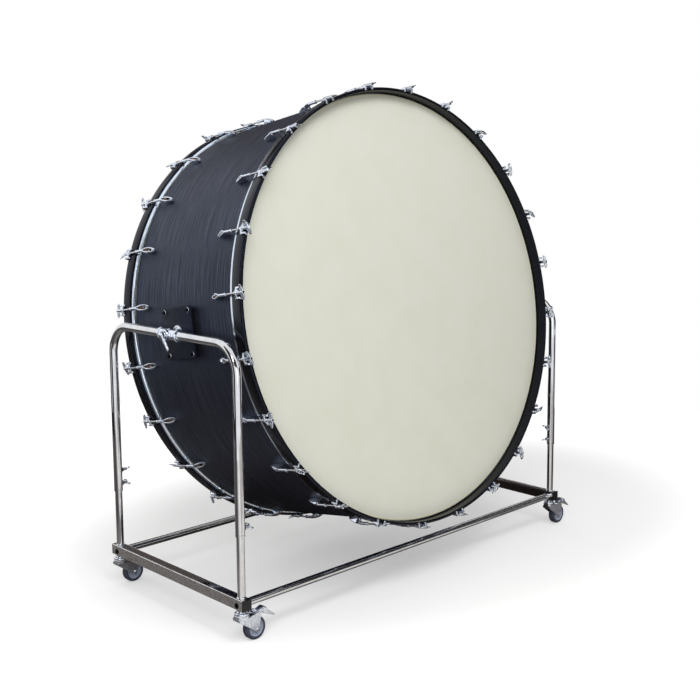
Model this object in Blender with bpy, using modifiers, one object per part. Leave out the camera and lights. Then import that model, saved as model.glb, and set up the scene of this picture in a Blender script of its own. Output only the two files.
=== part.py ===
"""Concert bass drum on a wheeled stand, with its tilting trunnions, sliding bails and braked casters.

Metres, +Z up. The front head faces -Y and leans a little upwards. The floor is at z = 0.
"""
import math

import bmesh
import bpy
from mathutils import Matrix, Vector

# Clearances, and how far shapes that are one body run into each other
GAP = 0.0003
SLIDE_CLEARANCE = 0.0004
PIVOT_CLEARANCE = 0.0004
OVERLAP = 0.0010
CUT_MARGIN = 0.010

RING_SEGMENTS = 48
TUBE_SIDES = 12
PIVOT_SIDES = 16
BOLT_SIDES = 8
ROD_SIDES = 6

# Drum, in its own frame: Y is its axis and the pivot line is X
PIVOT_HEIGHT = 0.931
DRUM_LEAN = math.radians(9.47)
DRUM_DEPTH = 0.669

SHELL_OUTER_R = 0.750
SHELL_WALL = 0.010
BEARING_EDGE = 0.0025

HEAD_THICKNESS = 0.0015
HEAD_COLLAR = 0.0012
HEAD_RECESS = 0.0393

HOOP_STAND_OFF = 0.015
HOOP_THICKNESS = 0.0116
HOOP_WIDTH = 0.0436
HOOP_ROUNDING = 0.006

FLESH_HOOP_THICKNESS = 0.0082
FLESH_HOOP_WIDTH = 0.012

# Tension gear
TENSION_COUNT = 24
FIRST_TENSION_ANGLE = 7.5
ROD_R = 0.0032
ROD_LIFT = 0.0075
HANDLE_LENGTH = 0.0165
HANDLE_SPAN = 0.050
HANDLE_TIP = 0.006
HANDLE_THICKNESS = 0.0075
CLAW_WIDTH = 0.035
CLAW_PRONG = 0.008
CLAW_BACK = 0.0186
CLAW_FACE = 0.008
CLAW_HOOK = 0.004
CLAW_HOOK_DROP = 0.008
CLAW_WALL = 0.0033
CLAW_BRIDGE = 0.0028
LUG_LENGTH = 0.045
LUG_WIDTH = 0.012
LUG_FROM_HOOP = 0.0509
LUG_BOSS_LENGTH = 0.015
LUG_WALL = 0.0070
LUG_FLOOR = 0.0052
LUG_SLEEVE_R = 0.0056
LUG_CROWN_R = 0.0165
LUG_FOOT_STEP = 0.004

# Side mounts
PLATE_LENGTH = 0.160
PLATE_HEIGHT = 0.173
PLATE_THICKNESS = 0.006
PLATE_STAND_OFF = 0.019
PLATE_CORNER = 0.006
PLATE_BOLT_INSET = 0.015
SPACER_R = 0.008
BOLT_HEAD_R = 0.0068
BOLT_HEAD_HEIGHT = 0.005
WASHER_R = 0.0105
WASHER_THICKNESS = 0.0016
TRUNNION_R = 0.008
TRUNNION_FLANGE_R = 0.026
TRUNNION_FLANGE = 0.0045
TRUNNION_CHAMFER = 0.001

# Stand
LEG_Y = 0.3446
BAIL_TUBE_R = 0.015
BAIL_STAND_OFF = 0.018
BAIL_BEND_R = 0.095
BAIL_BEND_STEPS = 4
BAIL_ABOVE_BAR = 0.1949
BAIL_WALL = 0.0021
LEG_OVERLAP = 0.260
BORE_SPARE = 0.010
LOWER_SCREW_RISE = 0.026
UPPER_SCREW_RISE = 0.074
SCREW_BOSS_R = 0.0085
SCREW_BOSS_LIFT = 0.0045
SCREW_R = 0.0031
SCREW_NECK = 0.003
WING_LENGTH = 0.018
WING_HUB_R = 0.0055
WING_SPAN = 0.034
WING_DIP = 0.006
WING_THICKNESS = 0.0042
UPPER_WING_TURN = math.radians(30.0)
LOWER_WING_TURN = math.radians(-20.0)

SLEEVE_WALL = 0.0038
SLEEVE_LENGTH = 0.100
SLEEVE_FLANGE_LIFT = 0.0037
SLEEVE_FLANGE = 0.006
SOCKET_R = 0.015
SOCKET_LIFT = 0.011
LOCK_BOSS_LIFT = 0.015
LEVER_HUB_R = 0.0105
LEVER_TIP_R = 0.0055
LEVER_LENGTH = 0.055
LEVER_THICKNESS = 0.0095
LEVER_ANGLE = math.radians(40.0)

BAR_WIDTH = 0.035
BAR_HEIGHT = 0.036
BAR_WALL = 0.002
BAR_BEYOND_LEG = 0.0243
CAP_FLANGE = 0.0035
CAP_PLUG = 0.015
CAP_ROUNDING = 0.001
RAIL_R = 0.0125
RAIL_INSET = 0.0032
RAIL_BELOW_BAR_TOP = 0.0215
DOME_R = 0.0095
DOME_HEIGHT = 0.0045

# Casters
WHEEL_R = 0.0375
WHEEL_WIDTH = 0.026
WHEEL_SEGMENTS = 20
TYRE_THICKNESS = 0.0105
TYRE_SHOULDER = 0.0035
HUB_RECESS = 0.004
CASTER_TRAIL = 0.047
AXLE_R = 0.004
AXLE_HEAD_R = 0.0068
AXLE_HEAD = 0.003
FORK_SHEET = 0.003
FORK_WHEEL_GAP = 0.0015
FORK_CROWN_R = 0.023
FORK_ABOVE_WHEEL = 0.0055
FORK_HOUSING = 0.0246
FORK_TOP_GAP = 0.0040
FORK_SHOULDER = 0.006
FORK_SKIRT = 0.003
FORK_TIP_R = 0.0095
FORK_MOUTH = 0.012
FORK_DOME = 0.006
STEM_R = 0.006
STEM_HEAD_R = 0.015
STEM_LENGTH = 0.014
PEDAL_LUG_R = 0.0065
PEDAL_PIN_R = 0.0025
PEDAL_PIN_PAST_AXLE = 0.009
PEDAL_PIN_ABOVE_CROWN = 0.0035
PEDAL_TIP_PAST_WHEEL = 0.0425
PEDAL_TIP_ABOVE_AXLE = 0.0195
PEDAL_BOSS_R = 0.0065
PEDAL_PAD_REACH = 0.024
PEDAL_PAD_LIFT = 0.0135
PEDAL_PAD_R = 0.010
PEDAL_SHEET = 0.003

# Where neighbouring pieces meet, worked out from the sizes above
HOOP_FACE = DRUM_DEPTH / 2
HOOP_BACK = HOOP_FACE - HOOP_WIDTH
HEAD_FACE = HOOP_FACE - HEAD_RECESS
FLESH_FRONT = HOOP_BACK - GAP
FLESH_BACK = FLESH_FRONT - FLESH_HOOP_WIDTH
SHELL_HALF = HEAD_FACE - HEAD_THICKNESS - GAP
COLLAR_INNER_R = SHELL_OUTER_R + GAP
COLLAR_OUTER_R = COLLAR_INNER_R + HEAD_COLLAR
FLESH_HOOP_OUTER_R = COLLAR_OUTER_R + GAP + FLESH_HOOP_THICKNESS
HOOP_OUTER_R = SHELL_OUTER_R + HOOP_STAND_OFF
HOOP_INNER_R = HOOP_OUTER_R - HOOP_THICKNESS
HOOP_SEAT_R = HOOP_OUTER_R * math.cos(math.pi / RING_SEGMENTS) - OVERLAP
ROD_AXIS_R = HOOP_OUTER_R + ROD_LIFT
CLAW_FRONT = HOOP_FACE + CLAW_FACE
LUG_NEAR_END = HOOP_BACK - LUG_FROM_HOOP
LUG_FAR_END = LUG_NEAR_END - LUG_LENGTH
PLATE_FACE_X = SHELL_OUTER_R + PLATE_STAND_OFF
BAIL_X = PLATE_FACE_X + BAIL_STAND_OFF + BAIL_TUBE_R
LEG_TUBE_R = BAIL_TUBE_R - BAIL_WALL - SLIDE_CLEARANCE
SLEEVE_R = BAIL_TUBE_R + SLEEVE_WALL
SLEEVE_FLANGE_R = SLEEVE_R + SLEEVE_FLANGE_LIFT
SCREW_BOSS_REACH = BAIL_TUBE_R + SCREW_BOSS_LIFT
SCREW_HOLE_R = (SCREW_R + GAP) / math.cos(math.pi / BOLT_SIDES)
SOCKET_REACH = BAIL_TUBE_R + SOCKET_LIFT
LOCK_BOSS_REACH = BAIL_TUBE_R + LOCK_BOSS_LIFT
LOCK_FACE_X = BAIL_X + LOCK_BOSS_REACH
LEVER_OUTER_X = LOCK_FACE_X + GAP + LEVER_THICKNESS
FORK_CROWN_Z = 2 * WHEEL_R + FORK_ABOVE_WHEEL
FORK_TOP = FORK_CROWN_Z + FORK_HOUSING
BAR_BOTTOM = FORK_TOP + FORK_TOP_GAP
BAR_TOP = BAR_BOTTOM + BAR_HEIGHT
BAR_LENGTH = 2 * (LEG_Y + BAR_BEYOND_LEG)
RAIL_Y = LEG_Y - RAIL_INSET
BAIL_FOOT = BAR_TOP + BAIL_ABOVE_BAR
BAIL_FOOT_DROP = PIVOT_HEIGHT - BAIL_FOOT
LEG_TOP = BAIL_FOOT + LEG_OVERLAP
UPPER_SCREW_DROP = BAIL_FOOT_DROP - UPPER_SCREW_RISE
LOWER_SCREW_DROP = BAIL_FOOT_DROP - LOWER_SCREW_RISE
PEDAL_PIN_X = CASTER_TRAIL + PEDAL_PIN_PAST_AXLE
PEDAL_PIN_Z = FORK_CROWN_Z + PEDAL_PIN_ABOVE_CROWN
PEDAL_TIP_X = CASTER_TRAIL + WHEEL_R + PEDAL_TIP_PAST_WHEEL
PEDAL_TIP_Z = WHEEL_R + PEDAL_TIP_ABOVE_AXLE

# The widest pieces are the pedals on one side and the clamp lever on the other, and
# the origin lies midway between them, under the middle of the whole object.
CENTRE_X = (LEVER_OUTER_X - BAIL_X - PEDAL_TIP_X) / 2

# How far each T-handle is turned from lying along the rim, from the first rod round
HANDLE_TURNS = (0, 30, -35, 20, 49, 25, 8, -8, -26, -33, 51, 20,
                18, -25, 30, 26, 24, -2, -20, 10, 50, -32, 20, -12)


def clear_scene():
    """Remove every object that the file starts with."""
    for thing in list(bpy.data.objects):
        bpy.data.objects.remove(thing, do_unlink=True)


def collection(name):
    """A collection of the scene, made when it is first asked for."""
    group = bpy.data.collections.get(name)
    if group is None:
        group = bpy.data.collections.new(name)
        bpy.context.scene.collection.children.link(group)
    return group


def material(name, colour, roughness, metallic):
    """A plain finish: colour as linear red, green and blue."""
    finish = bpy.data.materials.get(name)
    if finish is None:
        finish = bpy.data.materials.new(name)
        finish.use_nodes = True
        shader = finish.node_tree.nodes["Principled BSDF"]
        shader.inputs["Base Color"].default_value = (*colour, 1.0)
        shader.inputs["Roughness"].default_value = roughness
        shader.inputs["Metallic"].default_value = metallic
        finish.diffuse_color = (*colour, 1.0)
    return finish


def stained_wood():
    return material("black_stained_wood", (0.035, 0.040, 0.055), 0.45, 0.0)


def drum_skin():
    return material("cream_drum_skin", (0.70, 0.68, 0.56), 0.55, 0.0)


def aluminium():
    return material("polished_aluminium", (0.80, 0.81, 0.83), 0.25, 1.0)


def chrome():
    return material("chrome", (0.75, 0.75, 0.76), 0.12, 1.0)


def zinc():
    return material("zinc_plated_steel", (0.62, 0.64, 0.67), 0.30, 1.0)


def black_steel():
    return material("black_painted_steel", (0.022, 0.022, 0.026), 0.45, 0.0)


def black_plastic():
    return material("black_plastic", (0.015, 0.015, 0.016), 0.50, 0.0)


def rubber():
    return material("grey_rubber", (0.045, 0.048, 0.060), 0.70, 0.0)


def link(thing, group="concert_bass_drum"):
    """Put an object in a collection of the scene."""
    collection(group).objects.link(thing)
    return thing


def empty(name, location, rotation=(0, 0, 0), parent=None):
    """An axis that other pieces hang on."""
    axis = link(bpy.data.objects.new(name, None))
    axis.empty_display_size = 0.05
    axis.location = location
    axis.rotation_euler = rotation
    axis.parent = parent
    return axis


def finished(mesh, finish):
    """The same mesh, with a finish if it has none yet."""
    if not mesh.materials:
        mesh.materials.append(finish)
    return mesh


def piece(name, mesh, finish, parent=None, location=(0, 0, 0), rotation=(0, 0, 0)):
    """A named sub-part, shaded smooth where its faces meet gently."""
    thing = link(bpy.data.objects.new(name, mesh))
    finished(mesh, finish)
    mesh.shade_smooth()
    mesh.set_sharp_from_angle(angle=math.radians(35))
    thing.parent = parent
    thing.location = location
    thing.rotation_euler = rotation
    return thing


def evaluated_mesh(thing):
    """The mesh that an object's modifiers or curve settings give, welded and facing out.

    The object is removed.
    """
    graph = bpy.context.evaluated_depsgraph_get()
    graph.update()
    mesh = bpy.data.meshes.new_from_object(thing.evaluated_get(graph))
    mesh.transform(thing.matrix_world)
    form = bmesh.new()
    form.from_mesh(mesh)
    bmesh.ops.remove_doubles(form, verts=form.verts, dist=0.00001)
    bmesh.ops.dissolve_degenerate(form, dist=0.00001, edges=form.edges)
    bmesh.ops.recalc_face_normals(form, faces=form.faces)
    form.to_mesh(mesh)
    form.free()
    bpy.data.objects.remove(thing, do_unlink=True)
    return mesh


def turned(profile, segments, axis="Z", closed=True):
    """A mesh turned from (radius, height) points about an axis, with Screw."""
    mesh = bpy.data.meshes.new("profile")
    count = len(profile)
    edges = [(i, i + 1) for i in range(count - 1)]
    if closed:
        edges.append((count - 1, 0))
    mesh.from_pydata([(radius, 0.0, height) for radius, height in profile], edges, [])
    thing = link(bpy.data.objects.new("profile", mesh), "construction")
    screw = thing.modifiers.new("Turn", "SCREW")
    screw.steps = segments
    screw.render_steps = segments
    screw.use_merge_vertices = True
    screw.merge_threshold = 0.00001
    result = evaluated_mesh(thing)
    if axis == "Y":
        result.transform(Matrix.Rotation(math.radians(90), 4, "X"))
    if axis == "X":
        result.transform(Matrix.Rotation(math.radians(90), 4, "Y"))
    return result


def cylinder(radius, start, end, sides, axis="Z"):
    """A plain round bar along an axis, from start to end."""
    return turned([(0, end), (radius, end), (radius, start), (0, start)], sides, axis, closed=False)


def extruded(outlines, width, plane="XZ"):
    """A flat outline, with any holes after it, given a width across its plane."""
    curve = bpy.data.curves.new("outline", "CURVE")
    curve.dimensions = "2D"
    curve.fill_mode = "BOTH"
    curve.extrude = width / 2
    for outline in outlines:
        spline = curve.splines.new("POLY")
        spline.points.add(len(outline) - 1)
        for point, (across, up) in zip(spline.points, outline):
            point.co = (across, up, 0.0, 1.0)
        spline.use_cyclic_u = True
    mesh = evaluated_mesh(link(bpy.data.objects.new("outline", curve), "construction"))
    bpy.data.curves.remove(curve)
    if plane == "XZ":
        mesh.transform(Matrix.Rotation(math.radians(90), 4, "X"))
    if plane == "YZ":
        mesh.transform(Matrix.Rotation(math.radians(90), 4, "Z") @ Matrix.Rotation(math.radians(90), 4, "X"))
    return mesh


def box(low, high, bevel=0.0):
    """A block between two corners, with its edges bevelled if a width is given."""
    form = bmesh.new()
    bmesh.ops.create_cube(form, size=1.0)
    size = Vector(high) - Vector(low)
    bmesh.ops.scale(form, vec=size, verts=form.verts)
    bmesh.ops.translate(form, vec=(Vector(low) + Vector(high)) / 2, verts=form.verts)
    if bevel:
        bmesh.ops.bevel(form, geom=form.edges, offset=bevel, segments=1, affect="EDGES")
    mesh = bpy.data.meshes.new("box")
    form.to_mesh(mesh)
    form.free()
    return mesh


def tube(points, radius, sides):
    """A round bar that follows a list of points."""
    curve = bpy.data.curves.new("tube", "CURVE")
    curve.dimensions = "3D"
    curve.bevel_depth = radius
    curve.bevel_resolution = (sides - 4) // 2
    curve.use_fill_caps = True
    spline = curve.splines.new("POLY")
    spline.points.add(len(points) - 1)
    for point, place in zip(spline.points, points):
        point.co = (*place, 1.0)
    return evaluated_mesh(link(bpy.data.objects.new("tube", curve), "construction"))


def combined(base, others, operation):
    """A mesh joined with, or cut by, each of the others."""
    thing = link(bpy.data.objects.new("work", base), "construction")
    for other in others:
        tool = link(bpy.data.objects.new("tool", other), "construction")
        tool.hide_render = True
        tool.display_type = "WIRE"
        step = thing.modifiers.new("Step", "BOOLEAN")
        step.operation = operation
        step.material_mode = "TRANSFER"
        step.object = tool
    tools = [step.object for step in thing.modifiers]
    result = evaluated_mesh(thing)
    for tool in tools:
        bpy.data.objects.remove(tool, do_unlink=True)
    return result


def joined(base, *others):
    return combined(base, others, "UNION")


def cut(base, *others):
    return combined(base, others, "DIFFERENCE")


def moved(mesh, offset=(0, 0, 0), turn=0.0, about="X"):
    """A copy of a mesh, turned about an axis and then shifted."""
    copy = mesh.copy()
    copy.transform(Matrix.Translation(offset) @ Matrix.Rotation(turn, 4, about))
    return copy


def gathered(meshes):
    """One mesh of separate solids, which a Boolean then joins to the piece that they stand on."""
    form = bmesh.new()
    for mesh in meshes:
        form.from_mesh(mesh)
    result = bpy.data.meshes.new("group")
    form.to_mesh(result)
    form.free()
    for finish in meshes[0].materials:
        result.materials.append(finish)
    return result


def arc(centre, radius, start, end, steps):
    """Points along an arc in degrees, both ends included."""
    turns = [math.radians(start + (end - start) * i / steps) for i in range(steps + 1)]
    return [(centre[0] + radius * math.cos(t), centre[1] + radius * math.sin(t)) for t in turns]


# Shell, heads and hoops

def shell_mesh():
    """The wooden cylinder, with its bearing edges sloped to the outside and the inside."""
    inner = SHELL_OUTER_R - SHELL_WALL
    half = [(SHELL_OUTER_R, SHELL_HALF - BEARING_EDGE),
            (SHELL_OUTER_R - BEARING_EDGE, SHELL_HALF),
            (inner, SHELL_HALF - BEARING_EDGE)]
    return turned(half + [(radius, -height) for radius, height in reversed(half)], RING_SEGMENTS, "Y")


def head_mesh():
    """The skin: a flat disc that lies on the shell's bearing edge."""
    edge = HEAD_THICKNESS / 2
    under = HEAD_FACE - HEAD_THICKNESS
    profile = [(0, HEAD_FACE), (COLLAR_OUTER_R - edge, HEAD_FACE), (COLLAR_OUTER_R, HEAD_FACE - edge),
               (COLLAR_OUTER_R, under), (0, under)]
    return turned(profile, RING_SEGMENTS, "Y", closed=False)


def flesh_hoop_mesh():
    """The metal ring behind the counterhoop, with the skin's collar that it is crimped to."""
    collar_top = HEAD_FACE - HEAD_THICKNESS - GAP
    profile = [(FLESH_HOOP_OUTER_R, FLESH_FRONT), (FLESH_HOOP_OUTER_R, FLESH_BACK),
               (COLLAR_INNER_R, FLESH_BACK), (COLLAR_INNER_R, collar_top),
               (COLLAR_OUTER_R, collar_top), (COLLAR_OUTER_R, FLESH_FRONT)]
    return turned(profile, RING_SEGMENTS, "Y")


def counterhoop_mesh():
    """The wooden rim, rounded where its outside meets its face."""
    centre = (HOOP_OUTER_R - HOOP_ROUNDING, HOOP_FACE - HOOP_ROUNDING)
    rounding = arc(centre, HOOP_ROUNDING, 90, 0, 2)
    inner_edge = HOOP_ROUNDING / 4
    profile = [(HOOP_INNER_R, HOOP_FACE - inner_edge), (HOOP_INNER_R + inner_edge, HOOP_FACE)]
    profile += rounding + [(HOOP_OUTER_R, HOOP_BACK), (HOOP_INNER_R, HOOP_BACK)]
    return turned(profile, RING_SEGMENTS, "Y")


# Tension gear. One of each is made at the top of the drum, facing the front, and the
# ring of them is turned round the drum's axis.

def around_rim(mesh, turns=None):
    """A ring of copies at the tension rods' places, each turned on its own axis if asked."""
    copies = []
    for index in range(TENSION_COUNT):
        copy = mesh.copy()
        if turns:
            out_to_axis = Matrix.Translation((0, 0, ROD_AXIS_R))
            turn = Matrix.Rotation(math.radians(-turns[index]), 4, "Y")
            copy.transform(out_to_axis @ turn @ out_to_axis.inverted())
        angle = FIRST_TENSION_ANGLE + index * 360 / TENSION_COUNT
        copy.transform(Matrix.Rotation(math.radians(90 - angle), 4, "Y"))
        copies.append(copy)
    return gathered(copies)


def claw_mesh():
    """A forked hook: two prongs over the hoop's face, and a bridge that the rod passes through."""
    top = ROD_AXIS_R + ROD_R + CLAW_WALL
    back = HOOP_FACE - CLAW_BACK
    seat_end = HOOP_FACE - HOOP_ROUNDING
    tip = HOOP_OUTER_R - CLAW_HOOK_DROP
    face = HOOP_FACE + GAP
    nose = face + CLAW_HOOK
    side = [(-back, HOOP_SEAT_R), (-seat_end, HOOP_SEAT_R), (-seat_end, HOOP_OUTER_R + GAP),
            (-face, HOOP_OUTER_R + GAP), (-face, tip), (-nose, tip), (-CLAW_FRONT, HOOP_OUTER_R),
            (-CLAW_FRONT, top), (-back, top)]
    body = extruded([side], CLAW_WIDTH, "YZ")
    slot_half = CLAW_WIDTH / 2 - CLAW_PRONG
    slot_top = ROD_AXIS_R - ROD_R - CLAW_BRIDGE
    slot = box((-slot_half, -CLAW_FRONT - CUT_MARGIN, tip - CUT_MARGIN), (slot_half, -seat_end, slot_top))
    return cut(body, slot)


def barred_handle(start, end, radius, outline, thickness):
    """A bar along -Y whose end is held in a flat handle, drawn in the plane of X and Y."""
    bar = cylinder(radius, start, end, ROD_SIDES, "Y")
    return joined(extruded([outline], thickness, "XY"), bar)


def tension_rod_mesh():
    """A long rod whose T-handle turns in front of the claw."""
    middle = CLAW_FRONT + GAP + HANDLE_LENGTH / 2
    half = HANDLE_SPAN / 2
    lens = [(0, HANDLE_LENGTH / 2), (-half, HANDLE_TIP / 2), (-half, -HANDLE_TIP / 2),
            (0, -HANDLE_LENGTH / 2), (half, -HANDLE_TIP / 2), (half, HANDLE_TIP / 2)]
    outline = [(across, along - middle) for across, along in lens]
    rod = barred_handle(LUG_NEAR_END + GAP, middle, ROD_R, outline, HANDLE_THICKNESS)
    return moved(rod, (0, 0, ROD_AXIS_R))


def lug_mesh():
    """The bridge on the shell that the rod screws into: a sleeve, a rounded far end and an eye."""
    foot = SHELL_OUTER_R - OVERLAP
    top = ROD_AXIS_R + LUG_SLEEVE_R
    under = ROD_AXIS_R - LUG_SLEEVE_R
    far = LUG_FAR_END
    near = LUG_NEAR_END
    neck = near - LUG_BOSS_LENGTH
    crown = (far + LUG_CROWN_R, top - LUG_CROWN_R)
    outer = [(near, under), (near, top)] + arc(crown, LUG_CROWN_R, 90, 168, 2)
    outer += [(far, foot), (neck - LUG_FOOT_STEP, foot), (neck, under)]
    floor = SHELL_OUTER_R + LUG_FLOOR
    back = far + LUG_WALL
    front = neck - LUG_WALL
    ceiling = ROD_AXIS_R - OVERLAP
    eye = [(back, floor), (back + LUG_FLOOR, ceiling), (front - OVERLAP, ceiling), (front, floor)]
    outlines = [[(-along, up) for along, up in line] for line in (outer, eye)]
    return extruded(outlines, LUG_WIDTH, "YZ")


# Side mounts, made on the +X side of the drum

def plate_mesh():
    """The square plate, with a spacer at each corner that stands on the shell, and its bolts."""
    inner = PLATE_FACE_X - PLATE_THICKNESS
    half_y = PLATE_LENGTH / 2
    half_z = PLATE_HEIGHT / 2
    corner = PLATE_CORNER
    outline = [(half_y, corner - half_z), (half_y, half_z - corner), (half_y - corner, half_z),
               (corner - half_y, half_z), (-half_y, half_z - corner), (-half_y, corner - half_z),
               (corner - half_y, -half_z), (half_y - corner, -half_z)]
    plate = moved(extruded([outline], PLATE_THICKNESS, "YZ"), (inner + PLATE_THICKNESS / 2, 0, 0))
    spacers = []
    for along, up in bolt_places():
        reach = abs(up) - SPACER_R
        drop = reach * math.tan(math.pi / RING_SEGMENTS)
        foot = SHELL_OUTER_R - drop + GAP
        spacer = cylinder(SPACER_R, foot, inner + PLATE_THICKNESS / 2, BOLT_SIDES, "X")
        spacers.append(moved(spacer, (0, along, up)))
    bolts = [moved(finished(plate_bolt_mesh(), zinc()), (PLATE_FACE_X, y, z)) for y, z in bolt_places()]
    return joined(finished(plate, black_steel()), finished(gathered(spacers), black_steel()), gathered(bolts))


def bolt_places():
    """Where the plate's four bolts stand, as (y, z)."""
    along = PLATE_LENGTH / 2 - PLATE_BOLT_INSET
    up = PLATE_HEIGHT / 2 - PLATE_BOLT_INSET
    return [(a, b) for a in (-along, along) for b in (-up, up)]


def plate_bolt_mesh():
    """A bolt head on its washer, standing on the plate's face at x = 0."""
    base = -OVERLAP
    washer = WASHER_THICKNESS
    top = washer + BOLT_HEAD_HEIGHT
    profile = [(0, top), (BOLT_HEAD_R, top), (BOLT_HEAD_R, washer), (WASHER_R, washer), (WASHER_R, base),
               (0, base)]
    return turned(profile, BOLT_SIDES, "X", closed=False)


def trunnion_mesh():
    """The pivot: a flange on the plate and a stub that turns in the clamp's socket."""
    base = PLATE_FACE_X + GAP
    shoulder = base + TRUNNION_FLANGE
    end = BAIL_X - BAIL_TUBE_R - PIVOT_CLEARANCE
    edge = TRUNNION_CHAMFER
    profile = [(0, end), (TRUNNION_R - edge, end), (TRUNNION_R, end - edge), (TRUNNION_R, shoulder),
               (TRUNNION_FLANGE_R - edge, shoulder), (TRUNNION_FLANGE_R, shoulder - edge),
               (TRUNNION_FLANGE_R, base), (0, base)]
    return turned(profile, PIVOT_SIDES, "X", closed=False)


# Bails, clamps and legs, made on the +X side with the pivot line at z = 0

def screw_places():
    """Where the wing screws stand on a bail, as (y, z from the pivot line)."""
    return [(side * LEG_Y, -drop) for side in (-1, 1) for drop in (UPPER_SCREW_DROP, LOWER_SCREW_DROP)]


def bail_mesh():
    """The upside-down U: a bent tube, bored for the legs, with a threaded boss for each screw."""
    bend = BAIL_BEND_R
    corner = (LEG_Y - bend, -bend)
    half = arc(corner, bend, 90, 0, BAIL_BEND_STEPS) + [(LEG_Y, -BAIL_FOOT_DROP)]
    path = [(0, -y, z) for y, z in reversed(half)] + [(0, y, z) for y, z in half]
    bail = tube(path, BAIL_TUBE_R, TUBE_SIDES)
    boss = cylinder(SCREW_BOSS_R, -SCREW_BOSS_REACH, 0, BOLT_SIDES, "X")
    hole = cylinder(SCREW_HOLE_R, -SCREW_BOSS_REACH - CUT_MARGIN, 0, BOLT_SIDES, "X")
    bosses = [moved(boss, (0, y, z)) for y, z in screw_places()]
    holes = [moved(hole, (0, y, z)) for y, z in screw_places()]
    bore_top = -BAIL_FOOT_DROP + LEG_OVERLAP + BORE_SPARE
    bore = cylinder(LEG_TUBE_R + SLIDE_CLEARANCE, -BAIL_FOOT_DROP - CUT_MARGIN, bore_top, TUBE_SIDES)
    bores = [moved(bore, (0, side * LEG_Y, 0)) for side in (-1, 1)]
    return cut(joined(bail, *bosses), *bores, *holes)


def clamp_mesh():
    """The sleeve round the bail's top tube, with the trunnion's socket and the lock's boss."""
    flange_in = SLEEVE_LENGTH / 2 - SLEEVE_FLANGE
    end = SLEEVE_LENGTH / 2
    half = [(SLEEVE_R, flange_in), (SLEEVE_FLANGE_R, flange_in), (SLEEVE_FLANGE_R, end), (0, end)]
    profile = [(0, -end)] + [(radius, -along) for radius, along in reversed(half[:3])] + half
    sleeve = turned(profile, TUBE_SIDES, "Y", closed=False)
    cross = cylinder(SOCKET_R, -SOCKET_REACH, LOCK_BOSS_REACH, TUBE_SIDES, "X")
    bore = cylinder(BAIL_TUBE_R + GAP, -end - CUT_MARGIN, end + CUT_MARGIN, TUBE_SIDES, "Y")
    socket = cylinder(TRUNNION_R + PIVOT_CLEARANCE, -SOCKET_REACH - CUT_MARGIN, 0, PIVOT_SIDES, "X")
    return cut(joined(sleeve, cross), bore, socket)


def lever_mesh():
    """The clamp's locking lever: a hub with an arm that narrows to a round end."""
    hub = arc((0, 0), LEVER_HUB_R, -10, 190, 6)
    tip = arc((0, -LEVER_LENGTH), LEVER_TIP_R, 190, 350, 4)
    return extruded([hub + tip], LEVER_THICKNESS, "YZ")


def wing_screw_mesh():
    """A wing screw: its point stops on the leg, and its two wings flare from the hub."""
    point = LEG_TUBE_R + SLIDE_CLEARANCE
    low = SCREW_BOSS_REACH + SCREW_NECK
    high = low + WING_LENGTH
    half = WING_SPAN / 2
    right = [(WING_HUB_R, low), (half, low + WING_DIP), (half, high), (WING_HUB_R, high - WING_DIP)]
    left = [(-across, along) for across, along in reversed(right)]
    outline = [(across, -along) for across, along in right + left]
    return barred_handle(point, low + WING_DIP, SCREW_R, outline, WING_THICKNESS)


# Base

def side_bar_mesh():
    """A square tube, open at both ends, with the domed head of each rail's bolt on its outer face."""
    half_w = BAR_WIDTH / 2
    half_l = BAR_LENGTH / 2
    outer = box((-half_w, -half_l, -BAR_HEIGHT), (half_w, half_l, 0))
    inner = box((BAR_WALL - half_w, -half_l - CUT_MARGIN, BAR_WALL - BAR_HEIGHT),
                (half_w - BAR_WALL, half_l + CUT_MARGIN, -BAR_WALL))
    heads = [moved(dome_mesh(), (half_w, way * RAIL_Y, -RAIL_BELOW_BAR_TOP)) for way in (-1, 1)]
    return joined(cut(outer, inner), *heads)


def end_cap_mesh():
    """A plastic cap whose plug fits the square tube. It closes the +Y end."""
    half_w = BAR_WIDTH / 2
    face = BAR_LENGTH / 2 + GAP
    flange = box((-half_w, face, -BAR_HEIGHT), (half_w, face + CAP_FLANGE, 0), CAP_ROUNDING)
    wall = BAR_WALL + GAP
    plug = box((wall - half_w, face - CAP_PLUG, wall - BAR_HEIGHT), (half_w - wall, face + OVERLAP, -wall))
    return joined(flange, plug)


def dome_mesh():
    """A domed bolt head that stands on the bar's outer face at x = 0."""
    crown = arc((0, 0), 1.0, 90, 0, 3)
    profile = [(DOME_R * across, DOME_HEIGHT * up) for across, up in crown]
    profile += [(DOME_R, -OVERLAP), (0, -OVERLAP)]
    return turned(profile, BOLT_SIDES, "X", closed=False)


# Casters, with the swivel's axis at x = 0 and the floor at z = 0

def stem_mesh():
    """The fixed stem: a washer against the bar and a pin down into the fork."""
    top = BAR_BOTTOM - GAP
    collar = FORK_TOP + GAP
    profile = [(0, top), (STEM_HEAD_R, top), (STEM_HEAD_R, collar), (STEM_R, collar),
               (STEM_R, collar - STEM_LENGTH), (0, collar - STEM_LENGTH)]
    return turned(profile, TUBE_SIDES, "Z", closed=False)


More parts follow.
